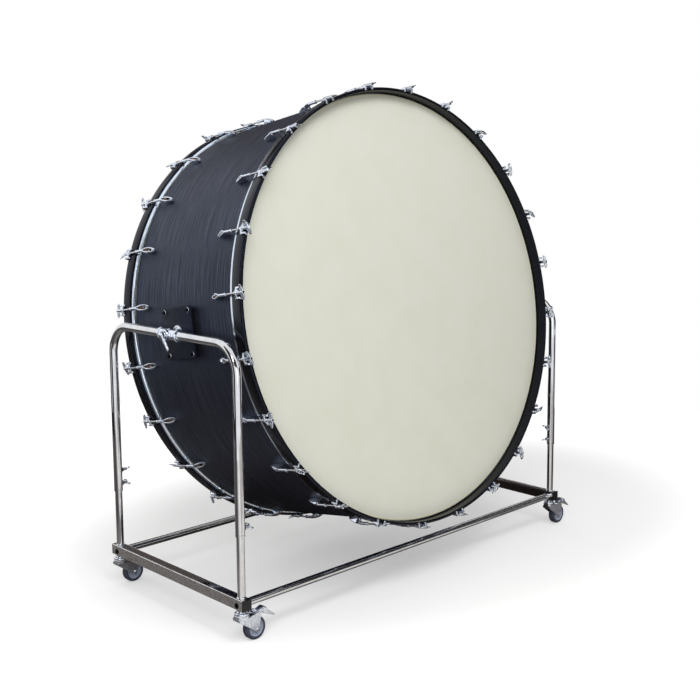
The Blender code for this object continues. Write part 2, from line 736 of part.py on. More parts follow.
def fork_mesh():
    """The pressed fork: a round swivel housing over two cheeks that trail back to the axle.

    The pin that the brake pedal turns on is riveted across the cheeks.
    """
    inner = WHEEL_WIDTH / 2 + FORK_WHEEL_GAP
    across = inner + FORK_SHEET
    crown = FORK_CROWN_Z + FORK_SHEET
    shoulder = crown + FORK_SHOULDER
    pivot_x, pivot_z = PEDAL_PIN_X, PEDAL_PIN_Z
    side = [(-FORK_CROWN_R, shoulder), (-FORK_CROWN_R, FORK_CROWN_Z - FORK_SKIRT)]
    side += arc((CASTER_TRAIL, WHEEL_R), FORK_TIP_R, 222, 355, 4)
    side += [(pivot_x + PEDAL_LUG_R, pivot_z - PEDAL_LUG_R), (pivot_x + PEDAL_LUG_R, pivot_z + PEDAL_LUG_R),
             (FORK_CROWN_R, shoulder)]
    body = extruded([side], 2 * across, "XZ")
    beyond = pivot_x + FORK_CROWN_R
    channel = box((-beyond, -inner, -CUT_MARGIN), (beyond, inner, FORK_CROWN_Z))
    mouth = box((FORK_CROWN_R + FORK_MOUTH, -inner, FORK_CROWN_Z - CUT_MARGIN), (beyond, inner, FORK_TOP))
    dome = turned([(0, FORK_TOP), (FORK_CROWN_R - FORK_DOME, FORK_TOP), (FORK_CROWN_R, FORK_TOP - FORK_DOME),
                   (FORK_CROWN_R, crown - OVERLAP), (0, crown - OVERLAP)], TUBE_SIDES, "Z", closed=False)
    bearing = cylinder(STEM_R + GAP, FORK_TOP - STEM_LENGTH - GAP, FORK_TOP + CUT_MARGIN, TUBE_SIDES)
    hole = cylinder(AXLE_R + GAP, -across - CUT_MARGIN, across + CUT_MARGIN, BOLT_SIDES, "Y")
    pin_end = across + OVERLAP
    pin = moved(cylinder(PEDAL_PIN_R, -pin_end, pin_end, ROD_SIDES, "Y"), (pivot_x, 0, pivot_z))
    fork = joined(cut(body, channel, mouth), dome, pin)
    return cut(fork, bearing, moved(hole, (CASTER_TRAIL, 0, WHEEL_R)))


def wheel_mesh():
    """A rubber tyre with rounded shoulders on a dished hub, bored for the axle."""
    half = WHEEL_WIDTH / 2
    rim = WHEEL_R - TYRE_THICKNESS
    side = [(WHEEL_R, half - TYRE_SHOULDER), (WHEEL_R - TYRE_SHOULDER, half), (rim, half),
            (rim, half - HUB_RECESS), (AXLE_R + GAP, half - HUB_RECESS)]
    profile = side + [(radius, -along) for radius, along in reversed(side)]
    return moved(turned(profile, WHEEL_SEGMENTS, "Y"), (CASTER_TRAIL, 0, WHEEL_R))


def axle_mesh():
    """The wheel's axle, with a head outside each of the fork's cheeks."""
    outer = WHEEL_WIDTH / 2 + FORK_WHEEL_GAP + FORK_SHEET + GAP
    head = outer + AXLE_HEAD
    half = [(AXLE_R, outer), (AXLE_HEAD_R, outer), (AXLE_HEAD_R, head), (0, head)]
    profile = [(0, -head)] + [(radius, -along) for radius, along in reversed(half[:3])] + half
    return moved(turned(profile, BOLT_SIDES, "Y", closed=False), (CASTER_TRAIL, 0, WHEEL_R))


def pedal_mesh():
    """The brake pedal: a boss on its pin, a rounded pad to step on and a toe that runs down to a point."""
    x, z = PEDAL_PIN_X, PEDAL_PIN_Z
    boss = arc((x, z), PEDAL_BOSS_R, 250, 120, 3)
    pad = arc((x + PEDAL_PAD_REACH, z + PEDAL_PAD_LIFT - PEDAL_PAD_R), PEDAL_PAD_R, 100, 0, 3)
    toe = [(PEDAL_TIP_X, PEDAL_TIP_Z), (PEDAL_TIP_X - PEDAL_SHEET, PEDAL_TIP_Z - PEDAL_SHEET)]
    heel_x = x + PEDAL_PAD_REACH
    heel = [(heel_x + PEDAL_PAD_R, z - PEDAL_PAD_R - PEDAL_SHEET), (heel_x, z - PEDAL_BOSS_R)]
    width = WHEEL_WIDTH + 2 * (FORK_WHEEL_GAP - GAP)
    pedal = extruded([boss + pad + toe + heel], width, "XZ")
    reach = width / 2 + CUT_MARGIN
    return cut(pedal, moved(cylinder(PEDAL_PIN_R + GAP, -reach, reach, ROD_SIDES, "Y"), (x, 0, z)))


# Assembly

def build_drum(drum):
    """The drum itself, which turns on the trunnions."""
    shell = finished(shell_mesh(), stained_wood())
    front_lugs = around_rim(finished(lug_mesh(), chrome()))
    rear_lugs = moved(front_lugs, turn=math.pi, about="Z")
    piece("shell", joined(shell, front_lugs, rear_lugs), stained_wood(), drum)
    counterhoop = finished(counterhoop_mesh(), stained_wood())
    claws = around_rim(finished(claw_mesh(), chrome()))
    rods = around_rim(finished(tension_rod_mesh(), chrome()), HANDLE_TURNS)
    sets = (("head", head_mesh(), drum_skin()),
            ("flesh_hoop", flesh_hoop_mesh(), aluminium()),
            ("counterhoop", joined(counterhoop, claws, rods), stained_wood()))
    for name, mesh, finish in sets:
        piece("front_" + name, mesh, finish, drum)
        piece("rear_" + name, mesh, finish, drum, rotation=(0, 0, math.pi))
    plate = plate_mesh()
    trunnion = trunnion_mesh()
    for name, turn in (("left", math.pi), ("right", 0.0)):
        piece(name + "_mount_plate", plate, black_steel(), drum, rotation=(0, 0, turn))
        piece(name + "_trunnion", trunnion, chrome(), drum, rotation=(0, 0, turn))


def build_bails(origin):
    """The two bails with their clamps, levers and wing screws."""
    bail = bail_mesh()
    clamp = clamp_mesh()
    lever = lever_mesh()
    screw = wing_screw_mesh()
    for name, turn in (("left", math.pi), ("right", 0.0)):
        side = math.cos(turn)
        carrier = empty(name + "_bail_frame", (side * BAIL_X, 0, PIVOT_HEIGHT), (0, 0, turn), origin)
        piece(name + "_bail", bail, chrome(), carrier)
        piece(name + "_clamp", clamp, chrome(), carrier)
        lever_x = LOCK_BOSS_REACH + GAP + LEVER_THICKNESS / 2
        piece(name + "_clamp_lever", lever, chrome(), carrier, (lever_x, 0, 0), (-side * LEVER_ANGLE, 0, 0))
        for y, z in screw_places():
            end = "front" if y * side < 0 else "rear"
            level = "upper" if z == -UPPER_SCREW_DROP else "lower"
            label = "_".join((name, end, level))
            axis = empty(label + "_screw_axis", (0, y, z), (0, 0, -math.pi / 2), carrier)
            turned_to = UPPER_WING_TURN if level == "upper" else LOWER_WING_TURN
            piece(label + "_wing_screw", screw, chrome(), axis, rotation=(0, turned_to, 0))


def build_base(origin):
    """The frame on the floor: side bars, rails, legs and the casters' stems."""
    bar = side_bar_mesh()
    leg_low = BAR_TOP + GAP
    leg = cylinder(LEG_TUBE_R, 0, LEG_TOP - leg_low, 12)
    cap = end_cap_mesh()
    stem = stem_mesh()
    for name, turn in (("left", math.pi), ("right", 0.0)):
        x = math.cos(turn) * BAIL_X
        piece(name + "_side_bar", bar, chrome(), origin, (x, 0, BAR_TOP), (0, 0, turn))
        for end, way in (("front", -1), ("rear", 1)):
            corner = name + "_" + end
            piece(corner + "_lower_leg", leg, chrome(), origin, (x, way * LEG_Y, leg_low))
            half_turn = 0.0 if way > 0 else math.pi
            piece(corner + "_end_cap", cap, black_plastic(), origin, (x, 0, BAR_TOP), (0, 0, half_turn))
            piece(corner + "_caster_stem", stem, zinc(), origin, (x, way * LEG_Y, 0))
    rail_end = BAIL_X - BAR_WIDTH / 2 - GAP
    rail_z = BAR_TOP - RAIL_BELOW_BAR_TOP
    rail = cylinder(RAIL_R, -rail_end, rail_end, 12, "X")
    for end, way in (("front", -1), ("rear", 1)):
        piece(end + "_cross_rail", rail, chrome(), origin, (0, way * RAIL_Y, rail_z))


def build_casters(origin):
    """Four swivelling, braked casters, all trailing the same way."""
    parts = (("fork", fork_mesh(), zinc()), ("wheel", wheel_mesh(), rubber()),
             ("axle", axle_mesh(), zinc()), ("brake_pedal", pedal_mesh(), zinc()))
    for name, side in (("left", -1), ("right", 1)):
        for end, way in (("front", -1), ("rear", 1)):
            label = name + "_" + end
            swivel = empty(label + "_swivel", (side * BAIL_X, way * LEG_Y, 0), parent=origin)
            for part, mesh, finish in parts:
                piece(label + "_" + part, mesh, finish, swivel)


def main():
    clear_scene()
    origin = empty("object_origin", (CENTRE_X, 0, 0))
    drum = empty("drum_pivot", (0, 0, PIVOT_HEIGHT), (-DRUM_LEAN, 0, 0), origin)
    build_drum(drum)
    build_bails(origin)
    build_base(origin)
    build_casters(origin)


main()
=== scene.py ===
"""Concert bass drum on its tilting, wheeled stand: its surfaces, fine pieces, light and camera.

Lengths are in metres, with +Z up. The front head faces -Y and leans a little upwards.
"""
from __future__ import annotations

import logging
import math
from dataclasses import dataclass, field
from enum import Enum

import bmesh
import bpy
from mathutils import Matrix, Vector

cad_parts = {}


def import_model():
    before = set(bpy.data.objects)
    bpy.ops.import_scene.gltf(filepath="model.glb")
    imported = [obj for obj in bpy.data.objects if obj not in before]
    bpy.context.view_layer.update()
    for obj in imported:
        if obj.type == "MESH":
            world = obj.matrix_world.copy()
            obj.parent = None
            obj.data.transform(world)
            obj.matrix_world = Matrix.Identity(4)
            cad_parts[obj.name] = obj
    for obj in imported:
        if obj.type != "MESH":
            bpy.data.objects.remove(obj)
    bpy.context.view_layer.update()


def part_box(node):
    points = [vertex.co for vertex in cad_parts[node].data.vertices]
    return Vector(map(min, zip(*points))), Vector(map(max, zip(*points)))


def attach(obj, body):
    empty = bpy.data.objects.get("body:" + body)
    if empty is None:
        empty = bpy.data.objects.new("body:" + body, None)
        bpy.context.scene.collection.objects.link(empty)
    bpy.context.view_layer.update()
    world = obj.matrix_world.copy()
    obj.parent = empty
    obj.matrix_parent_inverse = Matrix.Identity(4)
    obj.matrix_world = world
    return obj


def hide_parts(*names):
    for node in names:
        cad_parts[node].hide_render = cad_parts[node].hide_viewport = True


log = logging.getLogger("bass_drum")

Outline = list[tuple[float, float]]
Mesh = bpy.types.Mesh
MM = 0.001
RIM_SEGMENTS = 192
ROUND_SEGMENTS = 40
SMALL_SEGMENTS = 24
SMOOTH_BELOW = math.radians(32)


class Axis(Enum):
    """The axis that a turned form goes round, with the turn that lays +Z along it."""

    X = Matrix.Rotation(math.radians(90), 4, "Y")
    Y = Matrix.Rotation(math.radians(90), 4, "X")
    Z = Matrix.Identity(4)


class Plane(Enum):
    """The plane that a flat outline lies in, as the turn from the XY plane."""

    XY = Matrix.Identity(4)
    XZ = Matrix.Rotation(math.radians(90), 4, "X")
    YZ = Matrix.Rotation(math.radians(90), 4, "Z") @ Matrix.Rotation(math.radians(90), 4, "X")


class Slot(Enum):
    """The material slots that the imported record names."""

    STAINED_WOOD = "stained_wood"
    HOOP_WOOD = "hoop_wood"
    DRUM_SKIN = "drum_skin"
    ALUMINIUM = "polished_aluminium"
    CHROME = "chrome"
    ZINC = "zinc_plate"
    BLACK_STEEL = "black_steel"
    BLACK_PLASTIC = "black_plastic"
    RUBBER = "grey_rubber"


class End(Enum):
    """An end of the drum or stand, with the sign of its Y."""

    FRONT = -1
    REAR = 1

    @property
    def label(self) -> str:
        """The word that node names use."""
        return self.name.lower()


class Side(Enum):
    """A side of the drum or stand, with the sign of its X."""

    LEFT = -1
    RIGHT = 1

    @property
    def label(self) -> str:
        """The word that node names use."""
        return self.name.lower()

    @property
    def turn(self) -> float:
        """The half turn about Z that carries a right-hand piece to this side."""
        return 0.0 if self is Side.RIGHT else math.pi


# Colours and nodes

def linear(hex_colour: str) -> tuple[float, float, float, float]:
    """Turn an sRGB colour to linear.

    Args:
        hex_colour: the colour as #RRGGBB.

    Returns:
        Linear red, green and blue, and an alpha of 1.
    """
    parts = [int(hex_colour[i:i + 2], 16) / 255 for i in (1, 3, 5)]
    red, green, blue = (p / 12.92 if p <= 0.04045 else ((p + 0.055) / 1.055) ** 2.4 for p in parts)
    return red, green, blue, 1.0


def add_node(tree: bpy.types.NodeTree, kind: str, inputs: dict | None = None, **settings) -> bpy.types.Node:
    """Add a node with its settings, its values and its links.

    Args:
        tree: the node tree that it goes in.
        kind: the node's type name.
        inputs: by the input's name or number, a value or the socket that feeds it.
        settings: the node's own properties.

    Returns:
        The node.
    """
    node = tree.nodes.new(kind)
    for name, value in settings.items():
        setattr(node, name, value)
    for key, value in (inputs or {}).items():
        if isinstance(value, bpy.types.NodeSocket):
            tree.links.new(value, node.inputs[key])
        else:
            node.inputs[key].default_value = value
    return node


# Finishes

class Finish:
    """What every finish shares. The material is made when a piece first asks for it."""

    name: str
    slot: Slot

    def material(self) -> bpy.types.Material:
        """Return the finish's material, made once."""
        made = bpy.data.materials.get(self.name)
        if made is None:
            made = bpy.data.materials.new(self.name)
            made.use_nodes = True
            self.dress(made.node_tree, made.node_tree.nodes["Principled BSDF"])
        return made

    def dress(self, tree: bpy.types.NodeTree, shader: bpy.types.Node) -> None:
        """Set the shader and the nodes that feed it.

        Args:
            tree: the material's node tree.
            shader: its Principled BSDF.
        """
        raise NotImplementedError


@dataclass(frozen=True)
class StainedAsh(Finish):
    """Open-pored ash veneer, brushed along the grain, stained blue-black and lacquered satin.

    The pores run round the shell as fine dark lines, and the growth rings make long arches.
    The satin lacquer gives the wood a soft, broad reflection of the room, tinted blue as a painted reflection.
    """

    name: str = "black_stained_ash_veneer"
    slot: Slot = Slot.STAINED_WOOD
    ridge: str = "#28242B"
    pore: str = "#100E11"
    late_wood: str = "#1A171C"
    pore_spacing: float = 2.0 * MM     # Real pores lie 0.5 mm apart, too fine to show in the render
    pore_length: float = 190.0 * MM
    ring_spacing: float = 26.0 * MM
    figure_length: float = 1500.0 * MM
    figure_width: float = 260.0 * MM
    relief: float = 0.6 * MM
    roughness: float = 0.42
    shine: float = 1.0
    pore_shine: float = 0.45

    def dress(self, tree: bpy.types.NodeTree, shader: bpy.types.Node) -> None:
        """Set the shader and the nodes that feed it."""
        uv = add_node(tree, "ShaderNodeUVMap", uv_map="metres").outputs["UV"]
        figure_map = add_node(tree, "ShaderNodeMapping", {
            "Vector": uv, "Scale": (1 / self.figure_length, 1 / self.figure_width, 1.0)})
        figure = add_node(tree, "ShaderNodeTexNoise", {
            "Vector": figure_map.outputs[0], "Scale": 1.0, "Detail": 2.0, "Roughness": 0.45})
        drift = add_node(tree, "ShaderNodeMath", {
            0: figure.outputs["Fac"], 1: self.figure_width / self.ring_spacing * 0.55}, operation="MULTIPLY")
        ring_wave = add_node(tree, "ShaderNodeMath", {0: drift.outputs[0], 1: math.tau}, operation="MULTIPLY")
        rings = add_node(tree, "ShaderNodeMath", {0: ring_wave.outputs[0]}, operation="SINE")
        ring_share = add_node(tree, "ShaderNodeMapRange", {
            "Value": rings.outputs[0], "From Min": 0.1, "From Max": 1.0, "To Min": 0.0, "To Max": 0.75})

        split = add_node(tree, "ShaderNodeSeparateXYZ", {0: uv})
        sway = add_node(tree, "ShaderNodeMath", {
            0: figure.outputs["Fac"], 1: 0.009, 2: split.outputs["Y"]}, operation="MULTIPLY_ADD")
        swayed = add_node(tree, "ShaderNodeCombineXYZ", {0: split.outputs["X"], 1: sway.outputs[0]})
        pore_map = add_node(tree, "ShaderNodeMapping", {
            "Vector": swayed.outputs[0], "Scale": (1 / self.pore_length, 1 / self.pore_spacing, 1.0)})
        pores = add_node(tree, "ShaderNodeTexNoise", {
            "Vector": pore_map.outputs[0], "Scale": 1.0, "Detail": 3.0, "Roughness": 0.62})
        pore_share = add_node(tree, "ShaderNodeMapRange", {
            "Value": pores.outputs["Fac"], "From Min": 0.40, "From Max": 0.60})

        ground = add_node(tree, "ShaderNodeMix", {
            0: pore_share.outputs[0], 6: linear(self.pore), 7: linear(self.ridge)}, data_type="RGBA")
        colour = add_node(tree, "ShaderNodeMix", {
            0: ring_share.outputs[0], 6: ground.outputs[2], 7: linear(self.late_wood)}, data_type="RGBA")
        bump = add_node(tree, "ShaderNodeBump", {
            "Height": pore_share.outputs[0], "Strength": 0.55, "Distance": self.relief})
        gloss = add_node(tree, "ShaderNodeMapRange", {
            "Value": pore_share.outputs[0], "To Min": self.roughness + 0.14, "To Max": self.roughness - 0.04})
        tree.links.new(colour.outputs[2], shader.inputs["Base Color"])
        tree.links.new(bump.outputs[0], shader.inputs["Normal"])
        tree.links.new(gloss.outputs[0], shader.inputs["Roughness"])
        shine = add_node(tree, "ShaderNodeMapRange", {
            "Value": pore_share.outputs[0], "To Min": self.pore_shine, "To Max": self.shine})
        tree.links.new(shine.outputs[0], shader.inputs["Specular IOR Level"])
        # Painted reflection: the blue specular tint paints a blue sheen on the lacquer.
        shader.inputs["Specular Tint"].default_value = linear("#98C2FF")


@dataclass(frozen=True)
class LacqueredBeech(Finish):
    """Bent beech, sprayed with black polyurethane lacquer and polished.

    It is nearly black, with a clear line of light along the rounded edges and faint rub marks.
    """

    name: str = "black_lacquered_beech"
    slot: Slot = Slot.HOOP_WOOD
    colour: str = "#0B0B0E"
    worn: str = "#131317"
    mark_size: float = 14.0 * MM
    roughness: float = 0.16

    def dress(self, tree: bpy.types.NodeTree, shader: bpy.types.Node) -> None:
        """Set the shader and the nodes that feed it."""
        uv = add_node(tree, "ShaderNodeUVMap", uv_map="metres").outputs["UV"]
        marks = add_node(tree, "ShaderNodeTexNoise", {
            "Vector": uv, "Scale": 1 / self.mark_size, "Detail": 4.0, "Roughness": 0.6})
        share = add_node(tree, "ShaderNodeMapRange", {
            "Value": marks.outputs["Fac"], "From Min": 0.48, "From Max": 0.70})
        colour = add_node(tree, "ShaderNodeMix", {
            0: share.outputs[0], 6: linear(self.colour), 7: linear(self.worn)}, data_type="RGBA")
        gloss = add_node(tree, "ShaderNodeMapRange", {
            "Value": marks.outputs["Fac"], "To Min": self.roughness - 0.05, "To Max": self.roughness + 0.12})
        tree.links.new(colour.outputs[2], shader.inputs["Base Color"])
        tree.links.new(gloss.outputs[0], shader.inputs["Roughness"])
        shader.inputs["Specular IOR Level"].default_value = 0.28
        # Painted reflection: the blue specular tint gives the lacquer's reflections a blue cast.
        shader.inputs["Specular Tint"].default_value = linear("#B4C6F0")


@dataclass(frozen=True)
class SkinTexturedFilm(Finish):
    """Two-ply polyester film with fibres pressed in to look and feel like calfskin.

    It is warm cream and matt, faintly clouded, and a little yellower near its collar.
    """

    name: str = "skin_textured_polyester_film"
    slot: Slot = Slot.DRUM_SKIN
    colour: str = "#CCCDC1"
    cloud: str = "#CACBBD"
    edge: str = "#DEDABC"
    radius: float = 0.7516
    edge_width: float = 16.0 * MM
    cloud_size: float = 130.0 * MM
    fibre_size: float = 7.0 * MM
    relief: float = 0.12 * MM

    def dress(self, tree: bpy.types.NodeTree, shader: bpy.types.Node) -> None:
        """Set the shader and the nodes that feed it."""
        uv = add_node(tree, "ShaderNodeUVMap", uv_map="flat").outputs["UV"]
        clouds = add_node(tree, "ShaderNodeTexNoise", {
            "Vector": uv, "Scale": 1 / self.cloud_size, "Detail": 4.0, "Roughness": 0.55})
        cloud_share = add_node(tree, "ShaderNodeMapRange", {
            "Value": clouds.outputs["Fac"], "From Min": 0.42, "From Max": 0.66})
        fibres = add_node(tree, "ShaderNodeTexNoise", {
            "Vector": uv, "Scale": 1 / self.fibre_size, "Detail": 3.0, "Roughness": 0.6, "Distortion": 0.8})
        reach = add_node(tree, "ShaderNodeVectorMath", {0: uv}, operation="LENGTH")
        edge_share = add_node(tree, "ShaderNodeMapRange", {
            "Value": reach.outputs["Value"], "From Min": self.radius - self.edge_width,
            "From Max": self.radius}, interpolation_type="SMOOTHSTEP")
        ground = add_node(tree, "ShaderNodeMix", {
            0: cloud_share.outputs[0], 6: linear(self.colour), 7: linear(self.cloud)}, data_type="RGBA")
        colour = add_node(tree, "ShaderNodeMix", {
            0: edge_share.outputs[0], 6: ground.outputs[2], 7: linear(self.edge)}, data_type="RGBA")
        bump = add_node(tree, "ShaderNodeBump", {
            "Height": fibres.outputs["Fac"], "Strength": 0.35, "Distance": self.relief})
        tree.links.new(colour.outputs[2], shader.inputs["Base Color"])
        tree.links.new(bump.outputs[0], shader.inputs["Normal"])
        shader.inputs["Roughness"].default_value = 0.62
        shader.inputs["Specular IOR Level"].default_value = 0.30


@dataclass(frozen=True)
class Metal(Finish):
    """A bare or plated metal whose gloss wavers a little over its surface, and whose colour can be darkened as painted
    shade in its hollows and between parts.
    """

    name: str
    slot: Slot
    colour: str
    dull: str
    roughness: float
    waver: float
    patch_size: float
    relief: float = 0.0
    crease: float = 0.0

    def dress(self, tree: bpy.types.NodeTree, shader: bpy.types.Node) -> None:
        """Set the shader and the nodes that feed it."""
        place = add_node(tree, "ShaderNodeTexCoord").outputs["Object"]
        patches = add_node(tree, "ShaderNodeTexNoise", {
            "Vector": place, "Scale": 1 / self.patch_size, "Detail": 4.0, "Roughness": 0.55})
        share = add_node(tree, "ShaderNodeMapRange", {
            "Value": patches.outputs["Fac"], "From Min": 0.40, "From Max": 0.72})
        colour = add_node(tree, "ShaderNodeMix", {
            0: share.outputs[0], 6: linear(self.colour), 7: linear(self.dull)}, data_type="RGBA")
        gloss = add_node(tree, "ShaderNodeMapRange", {
            "Value": share.outputs[0], "To Min": self.roughness, "To Max": self.roughness + self.waver})
        tone = colour.outputs[2]
        # Painted shade: ambient occlusion darkens the colour to a tenth in hollows and where parts meet.
        if self.crease:
            open_share = add_node(tree, "ShaderNodeAmbientOcclusion", {"Distance": self.crease})
            shade = add_node(tree, "ShaderNodeMapRange", {
                "Value": open_share.outputs["AO"], "From Min": 0.30, "From Max": 0.80, "To Min": 0.10})
            tone = add_node(tree, "ShaderNodeVectorMath", {0: tone, "Scale": shade.outputs[0]},
                            operation="SCALE").outputs[0]
        tree.links.new(tone, shader.inputs["Base Color"])
        tree.links.new(gloss.outputs[0], shader.inputs["Roughness"])
        if self.relief:
            bump = add_node(tree, "ShaderNodeBump", {
                "Height": patches.outputs["Fac"], "Strength": 0.5, "Distance": self.relief})
            tree.links.new(bump.outputs[0], shader.inputs["Normal"])
        shader.inputs["Metallic"].default_value = 1.0


# Bright chromium over nickel, plated on polished steel tube: a sharp, slightly cool mirror.
CHROME = Metal("bright_chrome_plate", Slot.CHROME, "#E0E2E6", "#D2D4D8", 0.04, 0.04, 40.0 * MM)

# Chromium on die-cast zinc. The casting's skin is less flat, so its mirror is softer. Painted shade darkens it in
# hollows within 7 mm.
CAST_CHROME = Metal("chromed_zinc_casting", Slot.CHROME, "#ECF3FF", "#D2DCEC", 0.05, 0.06, 6.0 * MM,
                    0.04 * MM, 7.0 * MM)

# Drawn aluminium, satin polished round the ring: pale and tinted blue, a painted reflection, with its reflections drawn
# out.
ALUMINIUM = Metal("satin_drawn_aluminium", Slot.ALUMINIUM, "#DEEAF8", "#CFDDEE", 0.15, 0.06, 30.0 * MM)

# Pressed steel with blue-bright zinc: a grey, milky shine with a faint spangle, and painted shade in its hollows within
# 6 mm.
ZINC = Metal("blue_bright_zinc_plate", Slot.ZINC, "#EEF4FF", "#C2CCDE", 0.13, 0.14, 5.0 * MM,
             0.05 * MM, 6.0 * MM)

# Chromium on rolled square tube: the rolling leaves a fine mottle under the plate.
ROLLED_CHROME = Metal("chromed_rolled_tube", Slot.CHROME, "#E4E4E6", "#A6A3A1", 0.09, 0.12, 7.0 * MM,
                      0.05 * MM)

# Free-cutting brass, turned and left bare. Its brown, set in the lug's opening, is a painted reflection of the warm
# floor there.
BRASS_PAINTED_REFLECTION = Metal("turned_brass", Slot.CHROME, "#9A7252", "#6A4A36", 0.25, 0.12, 4.0 * MM)

# Steel blackened hot in oxide and oiled: dark, with a small tight highlight.
BLACK_OXIDE = Metal("oiled_black_oxide_steel", Slot.BLACK_STEEL, "#1D1E22", "#141417", 0.22, 0.10, 4.0 * MM)


@dataclass(frozen=True)
class Coating(Finish):
    """A plastic, paint or rubber: one colour, a second one in patches, and a fine grain."""

    name: str
    slot: Slot
    colour: str
    patch: str
    roughness: float
    waver: float
    patch_size: float
    grain_size: float
    relief: float
    shine: float = 0.5
    tint: str = "#FFFFFF"

    def dress(self, tree: bpy.types.NodeTree, shader: bpy.types.Node) -> None:
        """Set the shader and the nodes that feed it."""
        place = add_node(tree, "ShaderNodeTexCoord").outputs["Object"]
        patches = add_node(tree, "ShaderNodeTexNoise", {
            "Vector": place, "Scale": 1 / self.patch_size, "Detail": 3.0, "Roughness": 0.5})
        grain = add_node(tree, "ShaderNodeTexNoise", {
            "Vector": place, "Scale": 1 / self.grain_size, "Detail": 2.0, "Roughness": 0.5})
        share = add_node(tree, "ShaderNodeMapRange", {
            "Value": patches.outputs["Fac"], "From Min": 0.42, "From Max": 0.68})
        colour = add_node(tree, "ShaderNodeMix", {
            0: share.outputs[0], 6: linear(self.colour), 7: linear(self.patch)}, data_type="RGBA")
        gloss = add_node(tree, "ShaderNodeMapRange", {
            "Value": share.outputs[0], "To Min": self.roughness, "To Max": self.roughness + self.waver})
        bump = add_node(tree, "ShaderNodeBump", {
            "Height": grain.outputs["Fac"], "Strength": 0.5, "Distance": self.relief})
        tree.links.new(colour.outputs[2], shader.inputs["Base Color"])
        tree.links.new(gloss.outputs[0], shader.inputs["Roughness"])
        tree.links.new(bump.outputs[0], shader.inputs["Normal"])
        shader.inputs["Specular IOR Level"].default_value = self.shine
        # Painted reflection: a coloured tint here colours the coating's reflections.
        shader.inputs["Specular Tint"].default_value = linear(self.tint)


# Black polyester powder, baked on steel: charcoal where it faces the room, with orange-peel grain and a blue tint to
# its reflections, a painted reflection.
POWDER_COAT = Coating("black_powder_coat", Slot.BLACK_STEEL, "#12141D", "#0E1018", 0.40, 0.08, 30.0 * MM,
                      2.5 * MM, 0.10 * MM, 0.32, "#A8C0FF")

# Moulded polyethylene, matt black from a spark-eroded mould.
BLACK_PLASTIC = Coating("moulded_black_polyethylene", Slot.BLACK_PLASTIC, "#0E0E10", "#151517", 0.40, 0.10,
                        15.0 * MM, 1.6 * MM, 0.12 * MM, 0.40)

# Thermoplastic rubber tread, dark slate grey, dull and a little dusty where it rolls.
TYRE_RUBBER = Coating("moulded_grey_rubber_tread", Slot.RUBBER, "#363A4B", "#444857", 0.66, 0.12, 9.0 * MM,
                      1.8 * MM, 0.15 * MM)

# Grey-blue polyamide wheel body, smooth from the mould.
HUB_NYLON = Coating("moulded_grey_blue_polyamide", Slot.RUBBER, "#96A0B2", "#A3ABB9", 0.42, 0.08, 12.0 * MM,
                    2.0 * MM, 0.06 * MM)

SHELL_WOOD = StainedAsh()
HOOP_LACQUER = LacqueredBeech()
DRUM_FILM = SkinTexturedFilm()


# Mesh making

def arc(centre: tuple[float, float], radius: float, start: float, end: float, steps: int) -> Outline:
    """Return points along an arc, both ends included.

    Args:
        centre: the arc's centre.
        radius: its radius.
        start: the first point's angle, in degrees.
        end: the last point's angle.
        steps: how many stretches it has.

    Returns:
        The points.
    """
    return oval(centre, (radius, radius), steps, start, end)


def oval(centre: tuple[float, float], radii: tuple[float, float], steps: int, start: float = 0.0,
         end: float = 360.0, lean: float = 0.0) -> Outline:
    """Return points along an ellipse or a part of one.

    Args:
        centre: its centre.
        radii: its half width and half height.
        steps: how many stretches it has.
        start: the first point's angle, in degrees.
        end: the last point's angle. A full turn leaves out the last point.
        lean: how far the whole ellipse is turned, in degrees.

    Returns:
        The points.
    """
    whole = abs(end - start) >= 360.0
    turns = [math.radians(start + (end - start) * i / steps) for i in range(steps if whole else steps + 1)]
    tilt = math.radians(lean)
    points = []
    for turn in turns:
        across, up = radii[0] * math.cos(turn), radii[1] * math.sin(turn)
        points.append((centre[0] + across * math.cos(tilt) - up * math.sin(tilt),
                       centre[1] + across * math.sin(tilt) + up * math.cos(tilt)))
    return points


def turned(profile: Outline, segments: int = ROUND_SEGMENTS, axis: Axis = Axis.Z, closed: bool = False) -> Mesh:
    """Turn a profile round an axis.

    The UV map "metres" runs round the form and along its profile.

    Args:
        profile: points as (radius, height along the axis).
        segments: how many flats go round.
        axis: the axis.
        closed: whether the last point joins the first.

    Returns:
        The mesh.
    """
    form = bmesh.new()
    layer = form.loops.layers.uv.new("metres")
    widest = max(radius for radius, _ in profile)
    angles = [math.tau * i / segments for i in range(segments)]
    rings = []
    for radius, height in profile:
        if radius < 1e-7:
            rings.append([form.verts.new((0, 0, height))] * segments)
        else:
            rings.append([form.verts.new((radius * math.cos(a), radius * math.sin(a), height)) for a in angles])
    loop = profile + profile[:1] if closed else profile
    run = [0.0]
    for here, there in zip(loop, loop[1:]):
        run.append(run[-1] + math.dist(here, there))
    for low in range(len(loop) - 1):
        high = (low + 1) % len(profile)
        for i in range(segments):
            j = (i + 1) % segments
            corners = [(rings[low][i], i, low), (rings[low][j], i + 1, low),
                       (rings[high][j], i + 1, low + 1), (rings[high][i], i, low + 1)]
            kept = [c for n, c in enumerate(corners) if c[0] is not corners[n - 1][0]]
            if len(kept) < 3:
                continue
            face = form.faces.new([c[0] for c in kept])
            for corner, (_, step, point) in zip(face.loops, kept):
                corner[layer].uv = (math.tau * widest * step / segments, run[point])
    return finished_form(form, axis.value)


def finished_form(form: bmesh.types.BMesh, place: Matrix) -> Mesh:
    """Turn a bmesh to a mesh whose faces point out.

    Args:
        form: the bmesh, which is freed.
        place: a transform that is applied to it.

    Returns:
        The mesh.
    """
    bmesh.ops.recalc_face_normals(form, faces=form.faces)
    mesh = bpy.data.meshes.new("form")
    form.to_mesh(mesh)
    form.free()
    mesh.transform(place)
    return mesh


